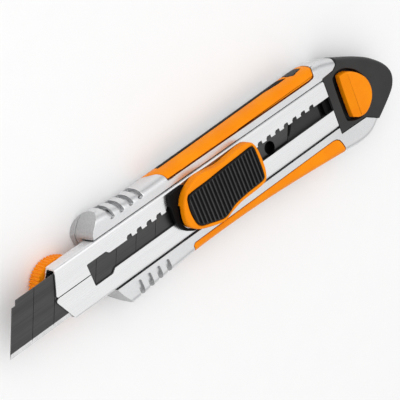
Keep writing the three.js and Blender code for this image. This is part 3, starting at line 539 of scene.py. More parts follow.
def apply_modifiers(piece):
    bpy.context.view_layer.update()
    seen = piece.evaluated_get(bpy.context.evaluated_depsgraph_get())
    mesh = bpy.data.meshes.new_from_object(seen)
    mesh.materials.clear()
    mesh.polygons.foreach_set("material_index", [0] * len(mesh.polygons))
    old = piece.data
    piece.modifiers.clear()
    piece.data = mesh
    bpy.data.meshes.remove(old)
    mesh.name = piece.name


def combine(piece, tool, operation):
    step = piece.modifiers.new("work", "BOOLEAN")
    step.operation = operation
    step.solver = "MANIFOLD"
    step.object = tool
    apply_modifiers(piece)
    bpy.data.objects.remove(tool)
    return piece


def cut(piece, *tools):
    for tool in tools:
        combine(piece, tool, "DIFFERENCE")
    return piece


def add(piece, *others):
    for other in others:
        combine(piece, other, "UNION")
    return piece


def meet(piece, tool):
    return combine(piece, tool, "INTERSECT")


def within(point, low, high):
    """The nearest point inside a box."""
    return [max(floor, min(top, value)) for floor, top, value in zip(low, high, point)]


def soften(piece, width, angle=32, segments=2):
    """Rounds each edge sharper than the angle, and keeps every new point near the old surface."""
    corners = [point.co.copy() for point in piece.data.vertices]
    limits = ([min(axis) for axis in zip(*corners)], [max(axis) for axis in zip(*corners)])
    surface = BVHTree.FromPolygons(
        corners,
        [tuple(face.vertices) for face in piece.data.polygons],
    )
    bevel = piece.modifiers.new("edges", "BEVEL")
    bevel.width = width * MM
    bevel.segments = segments
    bevel.limit_method = "ANGLE"
    bevel.angle_limit = math.radians(angle)
    bevel.miter_outer = "MITER_ARC"
    bevel.use_clamp_overlap = False
    apply_modifiers(piece)
    reach = 0.35 * width * MM
    for point in piece.data.vertices:
        nearest, _, _, distance = surface.find_nearest(point.co)
        if distance > reach:
            point.co = nearest
        point.co = within(point.co, *limits)
    return piece


def shade(piece, angle=40):
    mesh = piece.data
    mesh.shade_smooth()
    mesh.set_sharp_from_angle(angle=math.radians(angle))
    even = piece.modifiers.new("even shading", "WEIGHTED_NORMAL")
    even.keep_sharp = True
    return piece


# ---- shader groups ----

def put(tree, kind, inputs=None, **settings):
    """A node with its settings, and with its inputs set to values or linked to sockets."""
    made = tree.nodes.new("ShaderNode" + kind)
    for key, value in settings.items():
        setattr(made, key, value)
    for socket, value in (inputs or {}).items():
        if isinstance(value, bpy.types.NodeSocket):
            tree.links.new(value, made.inputs[socket])
        else:
            made.inputs[socket].default_value = value
    return made


def remap(tree, value, from_low, from_high, to_low=0.0, to_high=1.0):
    return put(tree, "MapRange", {
        "Value": value, "From Min": from_low, "From Max": from_high,
        "To Min": to_low, "To Max": to_high,
    }).outputs["Result"]


def calc(tree, operation, a, b):
    return put(tree, "Math", {0: a, 1: b}, operation=operation).outputs[0]


def plus(tree, base, extra, share):
    """The base value with a share of the extra one added."""
    return calc(tree, "ADD", base, calc(tree, "MULTIPLY", extra, share))


def blend_colours(tree, factor, a, b):
    return put(tree, "Mix", {0: factor, 6: a, 7: b}, data_type="RGBA").outputs[2]


def open_group(name, inputs, outputs):
    group = bpy.data.node_groups.new(name, "ShaderNodeTree")
    for label, default in inputs.items():
        socket = group.interface.new_socket(label, in_out="INPUT", socket_type="NodeSocketFloat")
        socket.default_value = default
    for label in outputs:
        group.interface.new_socket(label, in_out="OUTPUT", socket_type="NodeSocketFloat")
    given = group.nodes.new("NodeGroupInput").outputs
    return group, given, group.nodes.new("NodeGroupOutput").inputs


def piece_coordinates(tree):
    return put(tree, "TexCoord").outputs["Object"]


def noise(tree, where, scale, detail, **more):
    return put(
        tree, "TexNoise", {"Vector": where, "Scale": scale, "Detail": detail, **more},
    ).outputs["Fac"]


def two_vectors(tree, operation, a, b):
    return put(tree, "VectorMath", {0: a, 1: b}, operation=operation).outputs


def make_edge_wear():
    """A mask that is 1 along sharp outer edges, broken up into patches."""
    group, given, result = open_group(
        "edge wear", {"Width": 0.0004, "Amount": 0.5, "Patch Scale": 300.0}, ["Mask"],
    )
    bent = put(group, "Bevel", {"Radius": given["Width"]}, samples=6).outputs["Normal"]
    straight = put(group, "NewGeometry").outputs["Normal"]
    turn = two_vectors(group, "DOT_PRODUCT", bent, straight)["Value"]
    edge = remap(group, turn, 0.995, 0.88)
    cloud = noise(group, piece_coordinates(group), given["Patch Scale"], 4.0)
    patches = remap(group, cloud, 0.38, 0.62)
    mask = calc(group, "MULTIPLY", calc(group, "MULTIPLY", edge, patches), given["Amount"])
    group.links.new(mask, result["Mask"])
    return group


def make_cast_grain():
    """Fine pebbled grain, with a slow change of tone from place to place."""
    group, given, result = open_group("cast grain", {"Grain Scale": 2600.0}, ["Height", "Tone"])
    where = piece_coordinates(group)
    fine = noise(group, where, given["Grain Scale"], 3.0, Roughness=0.6)
    slow = noise(group, where, 55.0, 3.0)
    group.links.new(fine, result["Height"])
    tone = plus(group, calc(group, "MULTIPLY", fine, 0.6), slow, 0.4)
    group.links.new(tone, result["Tone"])
    return group


def make_brushed_lines():
    """Long fine lines along one direction, given by how stretched the noise is on each axis."""
    group, given, result = open_group(
        "brushed lines", {"Along X": 40.0, "Along Y": 3000.0, "Along Z": 3000.0},
        ["Height", "Tone"],
    )
    scale = put(group, "CombineXYZ", {
        "X": given["Along X"], "Y": given["Along Y"], "Z": given["Along Z"],
    }).outputs[0]
    stretched = two_vectors(group, "MULTIPLY", piece_coordinates(group), scale)["Vector"]
    lines = noise(group, stretched, 1.0, 4.0)
    broad = noise(group, stretched, 0.12, 2.0)
    group.links.new(lines, result["Height"])
    tone = plus(group, calc(group, "MULTIPLY", lines, 0.5), broad, 0.5)
    group.links.new(tone, result["Tone"])
    return group


def make_moulded_texture():
    """The fine leathery texture of a moulding, and faint cloudy unevenness."""
    group, given, result = open_group(
        "moulded texture", {"Texture Scale": 2200.0}, ["Height", "Clouds"],
    )
    where = piece_coordinates(group)
    cells = put(group, "TexVoronoi", {"Vector": where, "Scale": given["Texture Scale"]},
                feature="SMOOTH_F1").outputs["Distance"]
    fine = noise(group, where, given["Texture Scale"], 3.0)
    clouds = noise(group, where, 90.0, 4.0)
    group.links.new(calc(group, "ADD", cells, fine), result["Height"])
    group.links.new(clouds, result["Clouds"])
    return group


def make_handling_marks():
    """Thin scuffs and faint smudges, as values around zero."""
    group, given, result = open_group(
        "handling marks", {"Smudge Scale": 70.0}, ["Scuffs", "Smudges"],
    )
    where = piece_coordinates(group)
    warped = noise(group, where, given["Smudge Scale"], 5.0, Distortion=1.2)
    stretched = two_vectors(group, "MULTIPLY", where, (120.0, 1500.0, 900.0))["Vector"]
    lines = noise(group, stretched, 1.0, 2.0)
    group.links.new(remap(group, lines, 0.66, 0.74), result["Scuffs"])
    group.links.new(remap(group, warped, 0.35, 0.7, -0.5, 0.5), result["Smudges"])
    return group


EDGE_WEAR = make_edge_wear()
CAST_GRAIN = make_cast_grain()
BRUSHED_LINES = make_brushed_lines()
MOULDED_TEXTURE = make_moulded_texture()
HANDLING_MARKS = make_handling_marks()


# ---- materials ----

def start_material(name, **sockets):
    material = bpy.data.materials.new(name)
    material.use_nodes = True
    tree = material.node_tree
    shader = tree.nodes["Principled BSDF"]
    for socket, value in sockets.items():
        shader.inputs[socket.replace("_", " ")].default_value = value
    return material, tree, shader


def use(tree, group, **inputs):
    made = tree.nodes.new("ShaderNodeGroup")
    made.node_tree = group
    for label, value in inputs.items():
        made.inputs[label.replace("_", " ")].default_value = value
    return made.outputs


def feed(tree, shader, **sources):
    for socket, source in sources.items():
        tree.links.new(source, shader.inputs[socket.replace("_", " ")])


def bumped(tree, height, depth_mm):
    return put(tree, "Bump", {
        "Height": height, "Distance": depth_mm * MM, "Strength": 0.5,
    }).outputs["Normal"]


def varied_roughness(tree, tone, middle, spread):
    return remap(tree, tone, 0.25, 0.75, middle - spread, middle + spread)


def metal_finish(
    name, dark, light, roughness, spread, surface, depth_mm, wear_width, wear_tone,
    wear_amount=0.6,
):
    """A bare metal: tone and roughness from its surface group, brighter where edges are worn."""
    material, tree, shader = start_material(name, Metallic=1.0)
    grain = use(tree, surface[0], **surface[1])
    wear = use(tree, EDGE_WEAR, Width=wear_width * MM, Amount=wear_amount)["Mask"]
    marks = use(tree, HANDLING_MARKS)
    ground = blend_colours(tree, remap(tree, grain["Tone"], 0.3, 0.7), dark, light)
    rough = varied_roughness(tree, grain["Tone"], roughness, spread)
    smudged = plus(tree, rough, marks["Smudges"], 0.08)
    scuffed = plus(tree, smudged, marks["Scuffs"], 0.08)
    feed(
        tree, shader,
        Base_Color=blend_colours(tree, wear, ground, wear_tone),
        Roughness=scuffed,
        Normal=bumped(tree, grain["Height"], depth_mm),
    )
    return material


def moulded_finish(
    name, colour, deep, worn, roughness, texture_scale, depth_mm, wear_amount, specular,
):
    """A moulded plastic or rubber: cloudy tone, fine texture, paler where edges are rubbed."""
    material, tree, shader = start_material(name, Specular_IOR_Level=specular)
    texture = use(tree, MOULDED_TEXTURE, Texture_Scale=texture_scale)
    wear = use(tree, EDGE_WEAR, Width=0.5 * MM, Amount=wear_amount, Patch_Scale=450.0)["Mask"]
    marks = use(tree, HANDLING_MARKS)
    ground = blend_colours(tree, remap(tree, texture["Clouds"], 0.3, 0.7), deep, colour)
    rough = varied_roughness(tree, texture["Clouds"], roughness, 0.05)
    smudged = plus(tree, rough, marks["Smudges"], 0.1)
    feed(
        tree, shader,
        Base_Color=blend_colours(tree, wear, ground, worn),
        Roughness=smudged,
        Normal=bumped(tree, texture["Height"], depth_mm),
    )
    return material


def grey(value):
    return (value, value, value, 1)


LENGTHWISE = (BRUSHED_LINES, {"Along_X": 40.0, "Along_Y": 3000.0, "Along_Z": 3000.0})
CROSSWISE = (BRUSHED_LINES, {"Along_X": 3200.0, "Along_Y": 60.0, "Along_Z": 60.0})
TURNED = (BRUSHED_LINES, {"Along_X": 300.0, "Along_Y": 300.0, "Along_Z": 4000.0})

CAST_METAL = metal_finish(
    "satin cast metal", dark=(0.66, 0.665, 0.675, 1), light=(0.84, 0.843, 0.85, 1),
    roughness=0.34, spread=0.07, surface=(CAST_GRAIN, {"Grain_Scale": 2600.0}),
    depth_mm=0.02, wear_width=0.45, wear_tone=grey(0.93),
)
# Painted shade: a darker, rougher copy of the cast metal for the walls that face the nose.
SHADED_NOSE_CAST = metal_finish(
    "cast metal darkened as painted shade", dark=(0.38, 0.382, 0.385, 1), light=(0.60, 0.603, 0.61, 1),
    roughness=0.48, spread=0.08, surface=(CAST_GRAIN, {"Grain_Scale": 1700.0}),
    depth_mm=0.035, wear_width=0.45, wear_tone=grey(0.8),
)
STAINLESS = metal_finish(
    "brushed stainless", dark=(0.79, 0.793, 0.80, 1), light=(0.87, 0.872, 0.88, 1),
    roughness=0.27, spread=0.06, surface=LENGTHWISE,
    depth_mm=0.003, wear_width=0.3, wear_tone=grey(0.95),
)
BLUED_STEEL = metal_finish(
    "blued blade steel", dark=grey(0.068), light=grey(0.10),
    roughness=0.40, spread=0.06, surface=LENGTHWISE,
    depth_mm=0.004, wear_width=0.2, wear_tone=grey(0.25), wear_amount=0.4,
)
GROUND_STEEL = metal_finish(
    "ground blade edge", dark=grey(0.66), light=grey(0.84),
    roughness=0.24, spread=0.05, surface=CROSSWISE,
    depth_mm=0.004, wear_width=0.1, wear_tone=grey(0.9),
)
# Painted shade: near-black colour on the slanted walls of the score grooves.
SCORE_LINE_SHADE = metal_finish(
    "painted shade in the blade's score lines", dark=grey(0.012), light=grey(0.03),
    roughness=0.5, spread=0.05, surface=CROSSWISE,
    depth_mm=0.002, wear_width=0.1, wear_tone=grey(0.1),
)
SPRING_STEEL = metal_finish(
    "turned spring steel", dark=grey(0.48), light=grey(0.62),
    roughness=0.28, spread=0.06, surface=TURNED,
    depth_mm=0.004, wear_width=0.2, wear_tone=grey(0.75),
)
ORANGE_PLASTIC = moulded_finish(
    "orange moulded plastic", colour=(0.98, 0.30, 0.0, 1), deep=(0.93, 0.25, 0.0, 1),
    worn=(1.0, 0.40, 0.02, 1), roughness=0.46, texture_scale=2400.0, depth_mm=0.01,
    wear_amount=0.35, specular=0.12,
)
DARK_PLASTIC = moulded_finish(
    "dark grey moulded plastic", colour=grey(0.036), deep=grey(0.027), worn=grey(0.09),
    roughness=0.55, texture_scale=2200.0, depth_mm=0.03, wear_amount=0.35, specular=0.25,
)
# Real black plastic for the black parts, also used as painted shade on the tray's floors.
BLACK_PLASTIC_AND_SHADE = moulded_finish(
    "black moulded plastic, also painted shade", colour=grey(0.004), deep=grey(0.003), worn=grey(0.02),
    roughness=0.5, texture_scale=2600.0, depth_mm=0.015, wear_amount=0.35, specular=0.08,
)
RUBBER = moulded_finish(
    "black rubber", colour=grey(0.008), deep=grey(0.005), worn=grey(0.03),
    roughness=0.7, texture_scale=1800.0, depth_mm=0.03, wear_amount=0.5, specular=0.2,
)
# Paler, glossier grey for the upward faces near the rib crests.
PALE_CREST_RUBBER = moulded_finish(
    "paler crests of the ribs", colour=grey(0.045), deep=grey(0.03), worn=grey(0.10),
    roughness=0.6, texture_scale=1800.0, depth_mm=0.03, wear_amount=0.5, specular=0.35,
)
FINISHES = {
    "cast_metal": CAST_METAL, "stainless": STAINLESS, "blade_steel": BLUED_STEEL,
    "spring_steel": SPRING_STEEL, "orange_plastic": ORANGE_PLASTIC, "dark_plastic": DARK_PLASTIC,
    "black_plastic": BLACK_PLASTIC_AND_SHADE, "rubber": RUBBER,
}
SLOTS = {part["node"]: part["material_slot"] for part in frame["record"]["subparts"]}
BODIES = {
    node: body for body, nodes in frame["record"]["behaviour"]["bodies"].items() for node in nodes
}


def fit(piece, node):
    """The piece stands for a node of the frame: its body, its place in the record, its finish."""
    piece.name = node + "_fine"
    for point in piece.data.vertices:
        point.co = within(point.co, *CAD_BOX)
    if not piece.data.materials:
        piece.data.materials.append(FINISHES[SLOTS[node]])
    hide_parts(node)
    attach(piece, BODIES[node])
    return piece


def keep_node(node, edge_mm=0.08):
    """A node whose shape is right as it is: rounded edges and its finish."""
    piece = frame["nodes"][node]
    piece.data.materials.clear()
    piece.data.materials.append(FINISHES[SLOTS[node]])
    bevel = piece.modifiers.new("edges", "BEVEL")
    bevel.width = edge_mm * MM
    bevel.segments = 2
    bevel.limit_method = "ANGLE"
    bevel.angle_limit = math.radians(32)
    return piece


def repaint_base(piece, material):
    """The finish of every face that isn't repainted later."""
    piece.data.materials.append(material)


def repaint(piece, material, chosen):
    """Gives another material to the faces that the test chooses by centre and normal."""
    piece.data.materials.append(material)
    index = len(piece.data.materials) - 1
    for face in piece.data.polygons:
        if chosen((face.center - ORIGIN) / MM, face.normal):
            face.material_index = index


# ---- handle ----

def rounded_plate(ring, front, back, steps=9):
    """A solid plate over a ring. Front and back are (z, drop, inset) of their rounded edge."""
    layers = []
    for z, drop, depth, sign, order in (
        (*back, 1, range(steps, -1, -1)),
        (*front, -1, range(steps + 1)),
    ):
        for i in order:
            angle = i / steps * math.pi / 2
            level = z + sign * drop * (1 - math.sin(angle))
            moved = inset(ring, depth * (1 - math.cos(angle)))
            layers.append([(x, y, level) for x, y in moved])
    return loft(layers)


def handle_shape(skin=0.0):
    """The whole handle before anything is cut from it, or the same shape under a skin."""
    return rounded_plate(
        inset(HANDLE_RING, skin),
        (FACE_Z - skin, *HANDLE_FRONT_EDGE),
        (BACK_Z + skin, *HANDLE_BACK_EDGE),
    )


def nose_cut():
    """Everything ahead of the slanted nose walls of the two wings."""
    low, high = BACK_Z - 1, FACE_Z + 1
    shift = NOSE_WALL_SLANT * (high - low)
    return loft([
        [(x - shift, y, low) for x, y in AHEAD_OF_WINGS],
        [(x, y, high) for x, y in AHEAD_OF_WINGS],
    ])


def end_cap_room():
    return prism(inset(END_CAP_REGION, -GAP), BACK_Z - 1, FACE_Z + 1)


def finger_grooves():
    """The slots across both wings. They follow the flank at an even depth."""
    core = handle_shape(FINGER_GROOVE_DEPTH)
    half = FINGER_GROOVE_WIDTH / 2
    slots = []
    for i in range(FINGER_GROOVE_COUNT):
        x = FINGER_GROOVE_X + i * FINGER_GROOVE_PITCH
        for low_y, high_y, shift in FINGER_GROOVE_SPANS:
            plan = rounded([
                (x - half + shift, low_y), (x + half + shift, low_y),
                (x + half + shift, high_y), (x - half + shift, high_y),
            ], FINGER_GROOVE_CORNER)
            slots.append(prism(plan, FINGER_GROOVE_LOW_Z, FACE_Z + 1))
    grooves = slots[0]
    add(grooves, *slots[1:])
    return cut(grooves, core)


def upper_grip_room(clearance):
    inner = GRIP_INNER_Y - 2 * clearance
    side = prism(grown(UPPER_GRIP_SIDE, clearance), inner, BEYOND_UPPER_Y, along="Y")
    return meet(side, prism(grown(UPPER_GRIP_PLAN, 2 * clearance), BACK_Z, FACE_Z + 2))


def lower_grip_room(clearance):
    low = GRIP_BOTTOM_Z - clearance
    return prism(grown(LOWER_GRIP_PLAN, clearance), low, GRIP_ROOM_TOP_Z)


def strip_room(side, clearance):
    """The groove for the dark strip: side is 1 for the upper grip and -1 for the lower one."""
    if side > 0:
        low, high = STRIP_INNER_Y - clearance, BEYOND_UPPER_Y
    else:
        low, high = BEYOND_LOWER_Y, clearance - STRIP_INNER_Y - LOWER_STRIP_SET_OUT
    return prism(grown(STRIP_SIDE, clearance), low, high, along="Y")


def tip_inlay_room(clearance):
    """The pocket behind the upper strip for the small grey inlay."""
    inner = STRIP_INNER_Y - clearance
    return prism(grown(TIP_INLAY_SIDE, clearance), inner, BEYOND_UPPER_Y, along="Y")


def faces_nose_in_painted_shade(at, normal):
    """Chooses the walls that face the nose, on the wings and in their finger grooves. They get
    painted shade: a darker, rougher metal.
    """
    wing_wall = at.x < WING_WALL_END_X and normal.x < -0.33
    groove_wall = at.x < FINGER_GROOVES_END_X and normal.x < -0.55
    return wing_wall or groove_wall


def make_casting():
    groove_y = (-GROOVE_HALF_WIDTH, GROOVE_HALF_WIDTH)
    body = cut(
        handle_shape(),
        block(ALL_X, ALL_Y, (BACK_Z - 1, SPLIT_Z)),
        block(ALL_X, groove_y, (GROOVE_FLOOR_Z, FACE_Z + 1)),
        block(POCKET_X, POCKET_Y, (SPLIT_Z - 1, POCKET_TOP_Z)),
        end_cap_room(),
        nose_cut(),
        upper_grip_room(GAP),
        lower_grip_room(GAP),
        finger_grooves(),
    )
    for x, y in BACK_SCREWS:
        add(body, round_hole(x, y, SCREW_BOSS_RADIUS, SPLIT_Z, POCKET_TOP_Z + 0.5))
        cut(body, round_hole(x, y, SCREW_RADIUS + GAP, SPLIT_Z - 1, SCREW_BORE_TOP_Z))
    soften(body, 0.18)
    repaint_base(body, CAST_METAL)
    # Painted shade: the walls that face the nose get the darker metal.
    repaint(body, SHADED_NOSE_CAST, faces_nose_in_painted_shade)
    fit(shade(body), "body_casting")


def make_cover():
    plate = meet(handle_shape(), block(ALL_X, ALL_Y, (BACK_Z - 1, SPLIT_Z - GAP)))
    cut(plate, end_cap_room(), nose_cut())
    for x, y in BACK_SCREWS:
        cut(
            plate,
            round_hole(x, y, SCREW_RADIUS + GAP, BACK_Z - 1, SPLIT_Z + 1),
            round_hole(x, y, SCREW_HEAD_RADIUS + GAP, BACK_Z - 1, SCREW_HEAD_ROOM_Z),
        )
    soften(plate, 0.2)
    repaint_base(plate, CAST_METAL)
    # Painted shade: the walls that face the nose get the darker metal.
    repaint(plate, SHADED_NOSE_CAST, faces_nose_in_painted_shade)
    fit(shade(plate), "back_cover")


def make_grips():
    for name, side, room in (("upper", 1, upper_grip_room), ("lower", -1, lower_grip_room)):
        grip = cut(meet(handle_shape(), room(0)), strip_room(side, GAP))
        if side > 0:
            cut(grip, tip_inlay_room(GAP))
        strip = meet(meet(handle_shape(), room(0)), strip_room(side, 0))
        fit(shade(soften(grip, 0.3)), name + "_grip")
        fit(shade(soften(strip, 0.2)), name + "_grip_strip")
    inlay = meet(meet(handle_shape(), upper_grip_room(0)), tip_inlay_room(0))
    fit(shade(soften(inlay, 0.2)), "upper_grip_tip_inlay")


def make_back_screws():
    foot, top = SCREW_HEAD_LOW_Z, SCREW_HEAD_TOP_Z
    half_long, half_wide, depth = SCREW_CROSS
    for number, (x, y) in enumerate(BACK_SCREWS, 1):
        screw = turned(x, y, [
            (SCREW_HEAD_RADIUS - 0.5, foot), (SCREW_HEAD_RADIUS - 0.15, foot + 0.2),
            (SCREW_HEAD_RADIUS, foot + 0.6), (SCREW_HEAD_RADIUS, top), (SCREW_RADIUS, top),
            (SCREW_RADIUS, SCREW_TIP_Z - 0.4), (SCREW_RADIUS - 0.4, SCREW_TIP_Z),
        ])
        for half_x, half_y in ((half_long, half_wide), (half_wide, half_long)):
            across = (x - half_x, x + half_x), (y - half_y, y + half_y)
            cut(screw, block(*across, (foot - 1, foot + depth)))
        fit(shade(soften(screw, 0.06)), f"back_screw_{number}")


# ---- channel ----

def channel_section():
    """The folded sheet, cut across: two walls, a floor, and two lips that meet at a seam."""
    outer = CHANNEL_HALF_WIDTH
    bottom, top, r = CHANNEL_BOTTOM_Z, FACE_Z, CHANNEL_FOLD_RADIUS
    side, inside = outer - r, r - SHEET
    return [
        (SEAM_Y - SEAM_HALF_GAP, top),
        *arc(-side, top - r, r, 90, 180), *arc(-side, bottom + r, r, 180, 270),
        *arc(side, bottom + r, r, 270, 360), *arc(side, top - r, r, 0, 90),
        (SEAM_Y + SEAM_HALF_GAP, top), (SEAM_Y + SEAM_HALF_GAP, top - SHEET),
        *arc(side, top - r, inside, 90, 0, 4), *arc(side, bottom + r, inside, 360, 270, 4),
        *arc(-side, bottom + r, inside, 270, 180, 4), *arc(-side, top - r, inside, 180, 90, 4),
        (SEAM_Y - SEAM_HALF_GAP, top - SHEET),
    ]


def notch_cuts():
    half, top = NOTCH_WIDTH / 2, SLOT_HIGH_Y + NOTCH_DEPTH
    cuts = []
    for i in range(NOTCH_COUNT):
        x = NOTCH_FIRST_X + i * NOTCH_PITCH
        ring = [
            (x - half, SLOT_HIGH_Y - 1), (x + half, SLOT_HIGH_Y - 1), (x + half, top),
            (x - half + NOTCH_CHAMFER, top), (x - half, top - NOTCH_CHAMFER),
        ]
        cuts.append(prism(ring, FACE_Z - 2 * SHEET, FACE_Z + 1))
    return cuts


def make_channel():
    tube = prism(channel_section(), CHANNEL_START_X, CHANNEL_END_X, along="X")
    lip_low = FACE_Z - 2 * SHEET
    inside_low = CHANNEL_BOTTOM_Z + SHEET
    below = CHANNEL_BOTTOM_Z - 1
    cut(
        tube,
        prism(AHEAD_OF_LIPS, inside_low + 0.1, FACE_Z + 1),
        prism(AHEAD_OF_CHANNEL_FLOOR, below, inside_low + 0.2),
        prism(rounded(NOSE_WINDOW, NOSE_WINDOW_CORNER), lip_low, FACE_Z + 1),
        block((SLOT_START_X, CHANNEL_END_X + 1), (SLOT_LOW_Y, SLOT_HIGH_Y), (lip_low, FACE_Z + 1)),
        screw_bore(below, CHANNEL_BOTTOM_Z + 2),
        *notch_cuts(),
    )
    fit(shade(soften(tube, 0.12)), "blade_channel")


# ---- blades ----

def slanted_x(edge_x, y):
    """X of a line parallel to the score lines, at the height y."""
    return edge_x + (y + BLADE_HALF_WIDTH) * BLADE_SLANT


def blade_shape():
    """One scored blade with its tip at the origin of the knife."""
    w, t, edge = BLADE_HALF_WIDTH, BLADE_HALF_THICKNESS, BLADE_EDGE_HALF_THICKNESS
    step, nick = BLADE_STEP
    outline = [
        (0, -w), (BLADE_LENGTH, -w), (slanted_x(BLADE_LENGTH, w), w), (slanted_x(0, w) + step, w),
        (slanted_x(0, w - nick) + step, w - nick), (slanted_x(0, w - nick), w - nick),
    ]
    section = [
        (-w, -edge), (-w + BLADE_BEVEL, -t), (w, -t), (w, t), (-w + BLADE_BEVEL, t), (-w, edge),
    ]
    blade = meet(prism(outline, -1, 1), prism(section, -1, BLADE_LENGTH + 20, along="X"))
    x, y, radius = BLADE_HOLE
    cut(blade, round_hole(x, y, radius, -1, 1))
    above = t + 0.05
    for number in range(1, SEGMENT_COUNT):
        edge_x = number * SEGMENT_LENGTH
        groove = loft([
            [
                (slanted_x(edge_x, at_y) - SCORE_HALF_WIDTH, at_y, above),
                (slanted_x(edge_x, at_y), at_y, t - SCORE_DEPTH),
                (slanted_x(edge_x, at_y) + SCORE_HALF_WIDTH, at_y, above),
            ]
            for at_y in (-w + BLADE_BEVEL * 0.6, w + 1)
        ])
        cut(blade, groove)
    return blade


def make_blades():
    for node in ("active_blade", "spare_blade_1", "spare_blade_2"):
        blade = blade_shape()
        repaint_base(blade, BLUED_STEEL)
        edge_y = -BLADE_HALF_WIDTH + BLADE_BEVEL
        repaint(blade, GROUND_STEEL, lambda at, n: at.y < edge_y and 0.95 < abs(n.z) < 0.9999)
        # Painted shade: the walls of the score grooves are painted near-black.
        repaint(blade, SCORE_LINE_SHADE, lambda at, n: 0.3 < n.z < 0.9)
        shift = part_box(node)[0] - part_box("active_blade")[0]
        blade.data.transform(Matrix.Translation(shift))
        fit(shade(blade, 8), node)


# ---- nose wheel and clamp ----

def screw_bore(low, high):
    """Room for the wheel's screw."""
    return round_hole(WHEEL_X, 0, WHEEL_SCREW_RADIUS + GAP, low, high)


def knurled_ring(radius, z):
    points = []
    for tooth in range(WHEEL_TEETH):
        for share, height in WHEEL_TOOTH:
            angle = (tooth + share) / WHEEL_TEETH * 2 * math.pi
            r = radius - WHEEL_TOOTH_DEPTH * (1 - height)
            points.append((WHEEL_X + r * math.cos(angle), r * math.sin(angle), z))
    return points


def make_wheel():
    low, high, bevel = WHEEL_BOTTOM_Z, WHEEL_TOP_Z, WHEEL_BEVEL
    wheel = loft([
        knurled_ring(WHEEL_RADIUS - inwards * bevel, z)
        for inwards, z in (
            (1, low), (0.25, low + 0.35 * bevel), (0, low + bevel),
            (0, high - bevel), (0.25, high - 0.35 * bevel), (1, high),
        )
    ])
    groove_inner, groove_outer = WHEEL_FACE_GROOVE_RADII
    face_groove = cut(
        round_hole(WHEEL_X, 0, groove_outer, low - 1, low + WHEEL_FACE_GROOVE_DEPTH),
        round_hole(WHEEL_X, 0, groove_inner, low - 2, low + 1),
    )
    cut(
        wheel,
        screw_bore(low - 1, high + 1),
        round_hole(WHEEL_X, 0, WHEEL_HEAD_ROOM_RADIUS, low - 1, low + WHEEL_HEAD_ROOM_DEPTH),
        face_groove,
    )
    fit(shade(soften(wheel, 0.12, 50)), "nose_wheel")


def make_clamp():
    """The wheel's screw, the nut that it turns in, and the pad on its end."""
    foot = WHEEL_BOTTOM_Z + 0.2
    head, head_top = WHEEL_SCREW_HEAD_RADIUS, foot + WHEEL_SCREW_HEAD_HEIGHT
    screw = turned(WHEEL_X, 0, [
        (head - 0.5, foot), (head - 0.15, foot + 0.15), (head, foot + 0.45), (head, head_top),
        (WHEEL_SCREW_RADIUS, head_top), (WHEEL_SCREW_RADIUS, WHEEL_SCREW_TOP_Z - 0.3),
        (WHEEL_SCREW_RADIUS - 0.3, WHEEL_SCREW_TOP_Z),
    ])
    half = WHEEL_SCREW_SLOT_HALF_WIDTH
    cut(screw, block((WHEEL_X - 2, WHEEL_X + 2), (-half, half), (foot - 1.2, foot + 0.7)))
    fit(shade(soften(screw, 0.06)), "wheel_screw")

    low = CHANNEL_BOTTOM_Z + SHEET + GAP
    high = low + NUT_HEIGHT
    nut = turned(WHEEL_X, 0, [
        (NUT_RADIUS - 0.25, low), (NUT_RADIUS, low + 0.2),
        (NUT_RADIUS, high - 0.2), (NUT_RADIUS - 0.25, high),
    ], sides=6)
    cut(nut, screw_bore(low - 1, low + 3))
    fit(shade(soften(nut, 0.08)), "clamp_nut")

    low, high = CLAMP_PAD_LOW_Z, CLAMP_PAD_HIGH_Z
    pad = turned(WHEEL_X, 0, [
        (CLAMP_PAD_RADIUS - 0.2, low), (CLAMP_PAD_RADIUS, low + 0.2),
        (CLAMP_PAD_RADIUS, high - 0.2), (CLAMP_PAD_RADIUS - 0.2, high),
    ])
    cut(pad, screw_bore(-4, CLAMP_PAD_BORE_TOP_Z))
    fit(shade(soften(pad, 0.06)), "clamp_pad")


# ---- slider ----

def make_carrier():
    cap_ring = smooth(SLIDER_CAP_EDGE, 5, closed=True)
    nose_plan = rounded(CARRIER_NOSE, CARRIER_NOSE_CORNER)
    nose = prism(nose_plan, CARRIER_BOTTOM_Z, CARRIER_NOSE_TOP_Z)
    cut(nose, prism(inset(cap_ring, -GAP), 0, 8))
    neck_y = (SLOT_LOW_Y + CARRIER_CLEARANCE, SLOT_HIGH_Y - CARRIER_CLEARANCE)
    neck_z = (BLADE_HALF_THICKNESS + GAP, CARRIER_BOTTOM_Z + 0.5)
    room = PAWL_HALF_WIDTH + CARRIER_CLEARANCE
    top = ABOVE_CARRIER_Z
    carrier = add(
        block(*CARRIER_PLATE, (CARRIER_BOTTOM_Z, CARRIER_TOP_Z)),
        nose,
        block(*CARRIER_TONGUE, (CARRIER_BOTTOM_Z, CARRIER_TONGUE_TOP_Z)),
        block(CARRIER_NECK_X, neck_y, neck_z),
    )
    hole_x, hole_y = BLADE_HOLE[:2]
    cut(
        carrier,
        block((PAWL_X - room, PAWL_X + room), PAWL_ROOM_Y, (0, top)),
        block(*PAWL_SPRING_ROOM, (CARRIER_BOTTOM_Z + 0.5, top)),
        round_hole(hole_x, hole_y, PIN_RADIUS + GAP, 0, top),
        round_hole(hole_x, hole_y, PIN_HEAD_RADIUS + GAP, PIN_HEAD_ROOM_Z, top),
        round_hole(RIVET_X, 0, RIVET_RADIUS + GAP, 0, top),
        round_hole(RIVET_X, 0, RIVET_HEAD_RADIUS + GAP, PIN_HEAD_ROOM_Z, top),
        round_hole(PRESS_SPRING["x"], 0, PRESS_SPRING_WELL_RADIUS, PRESS_SPRING_WELL_Z, top),
    )
    fit(shade(soften(carrier, 0.18)), "slider_carrier")


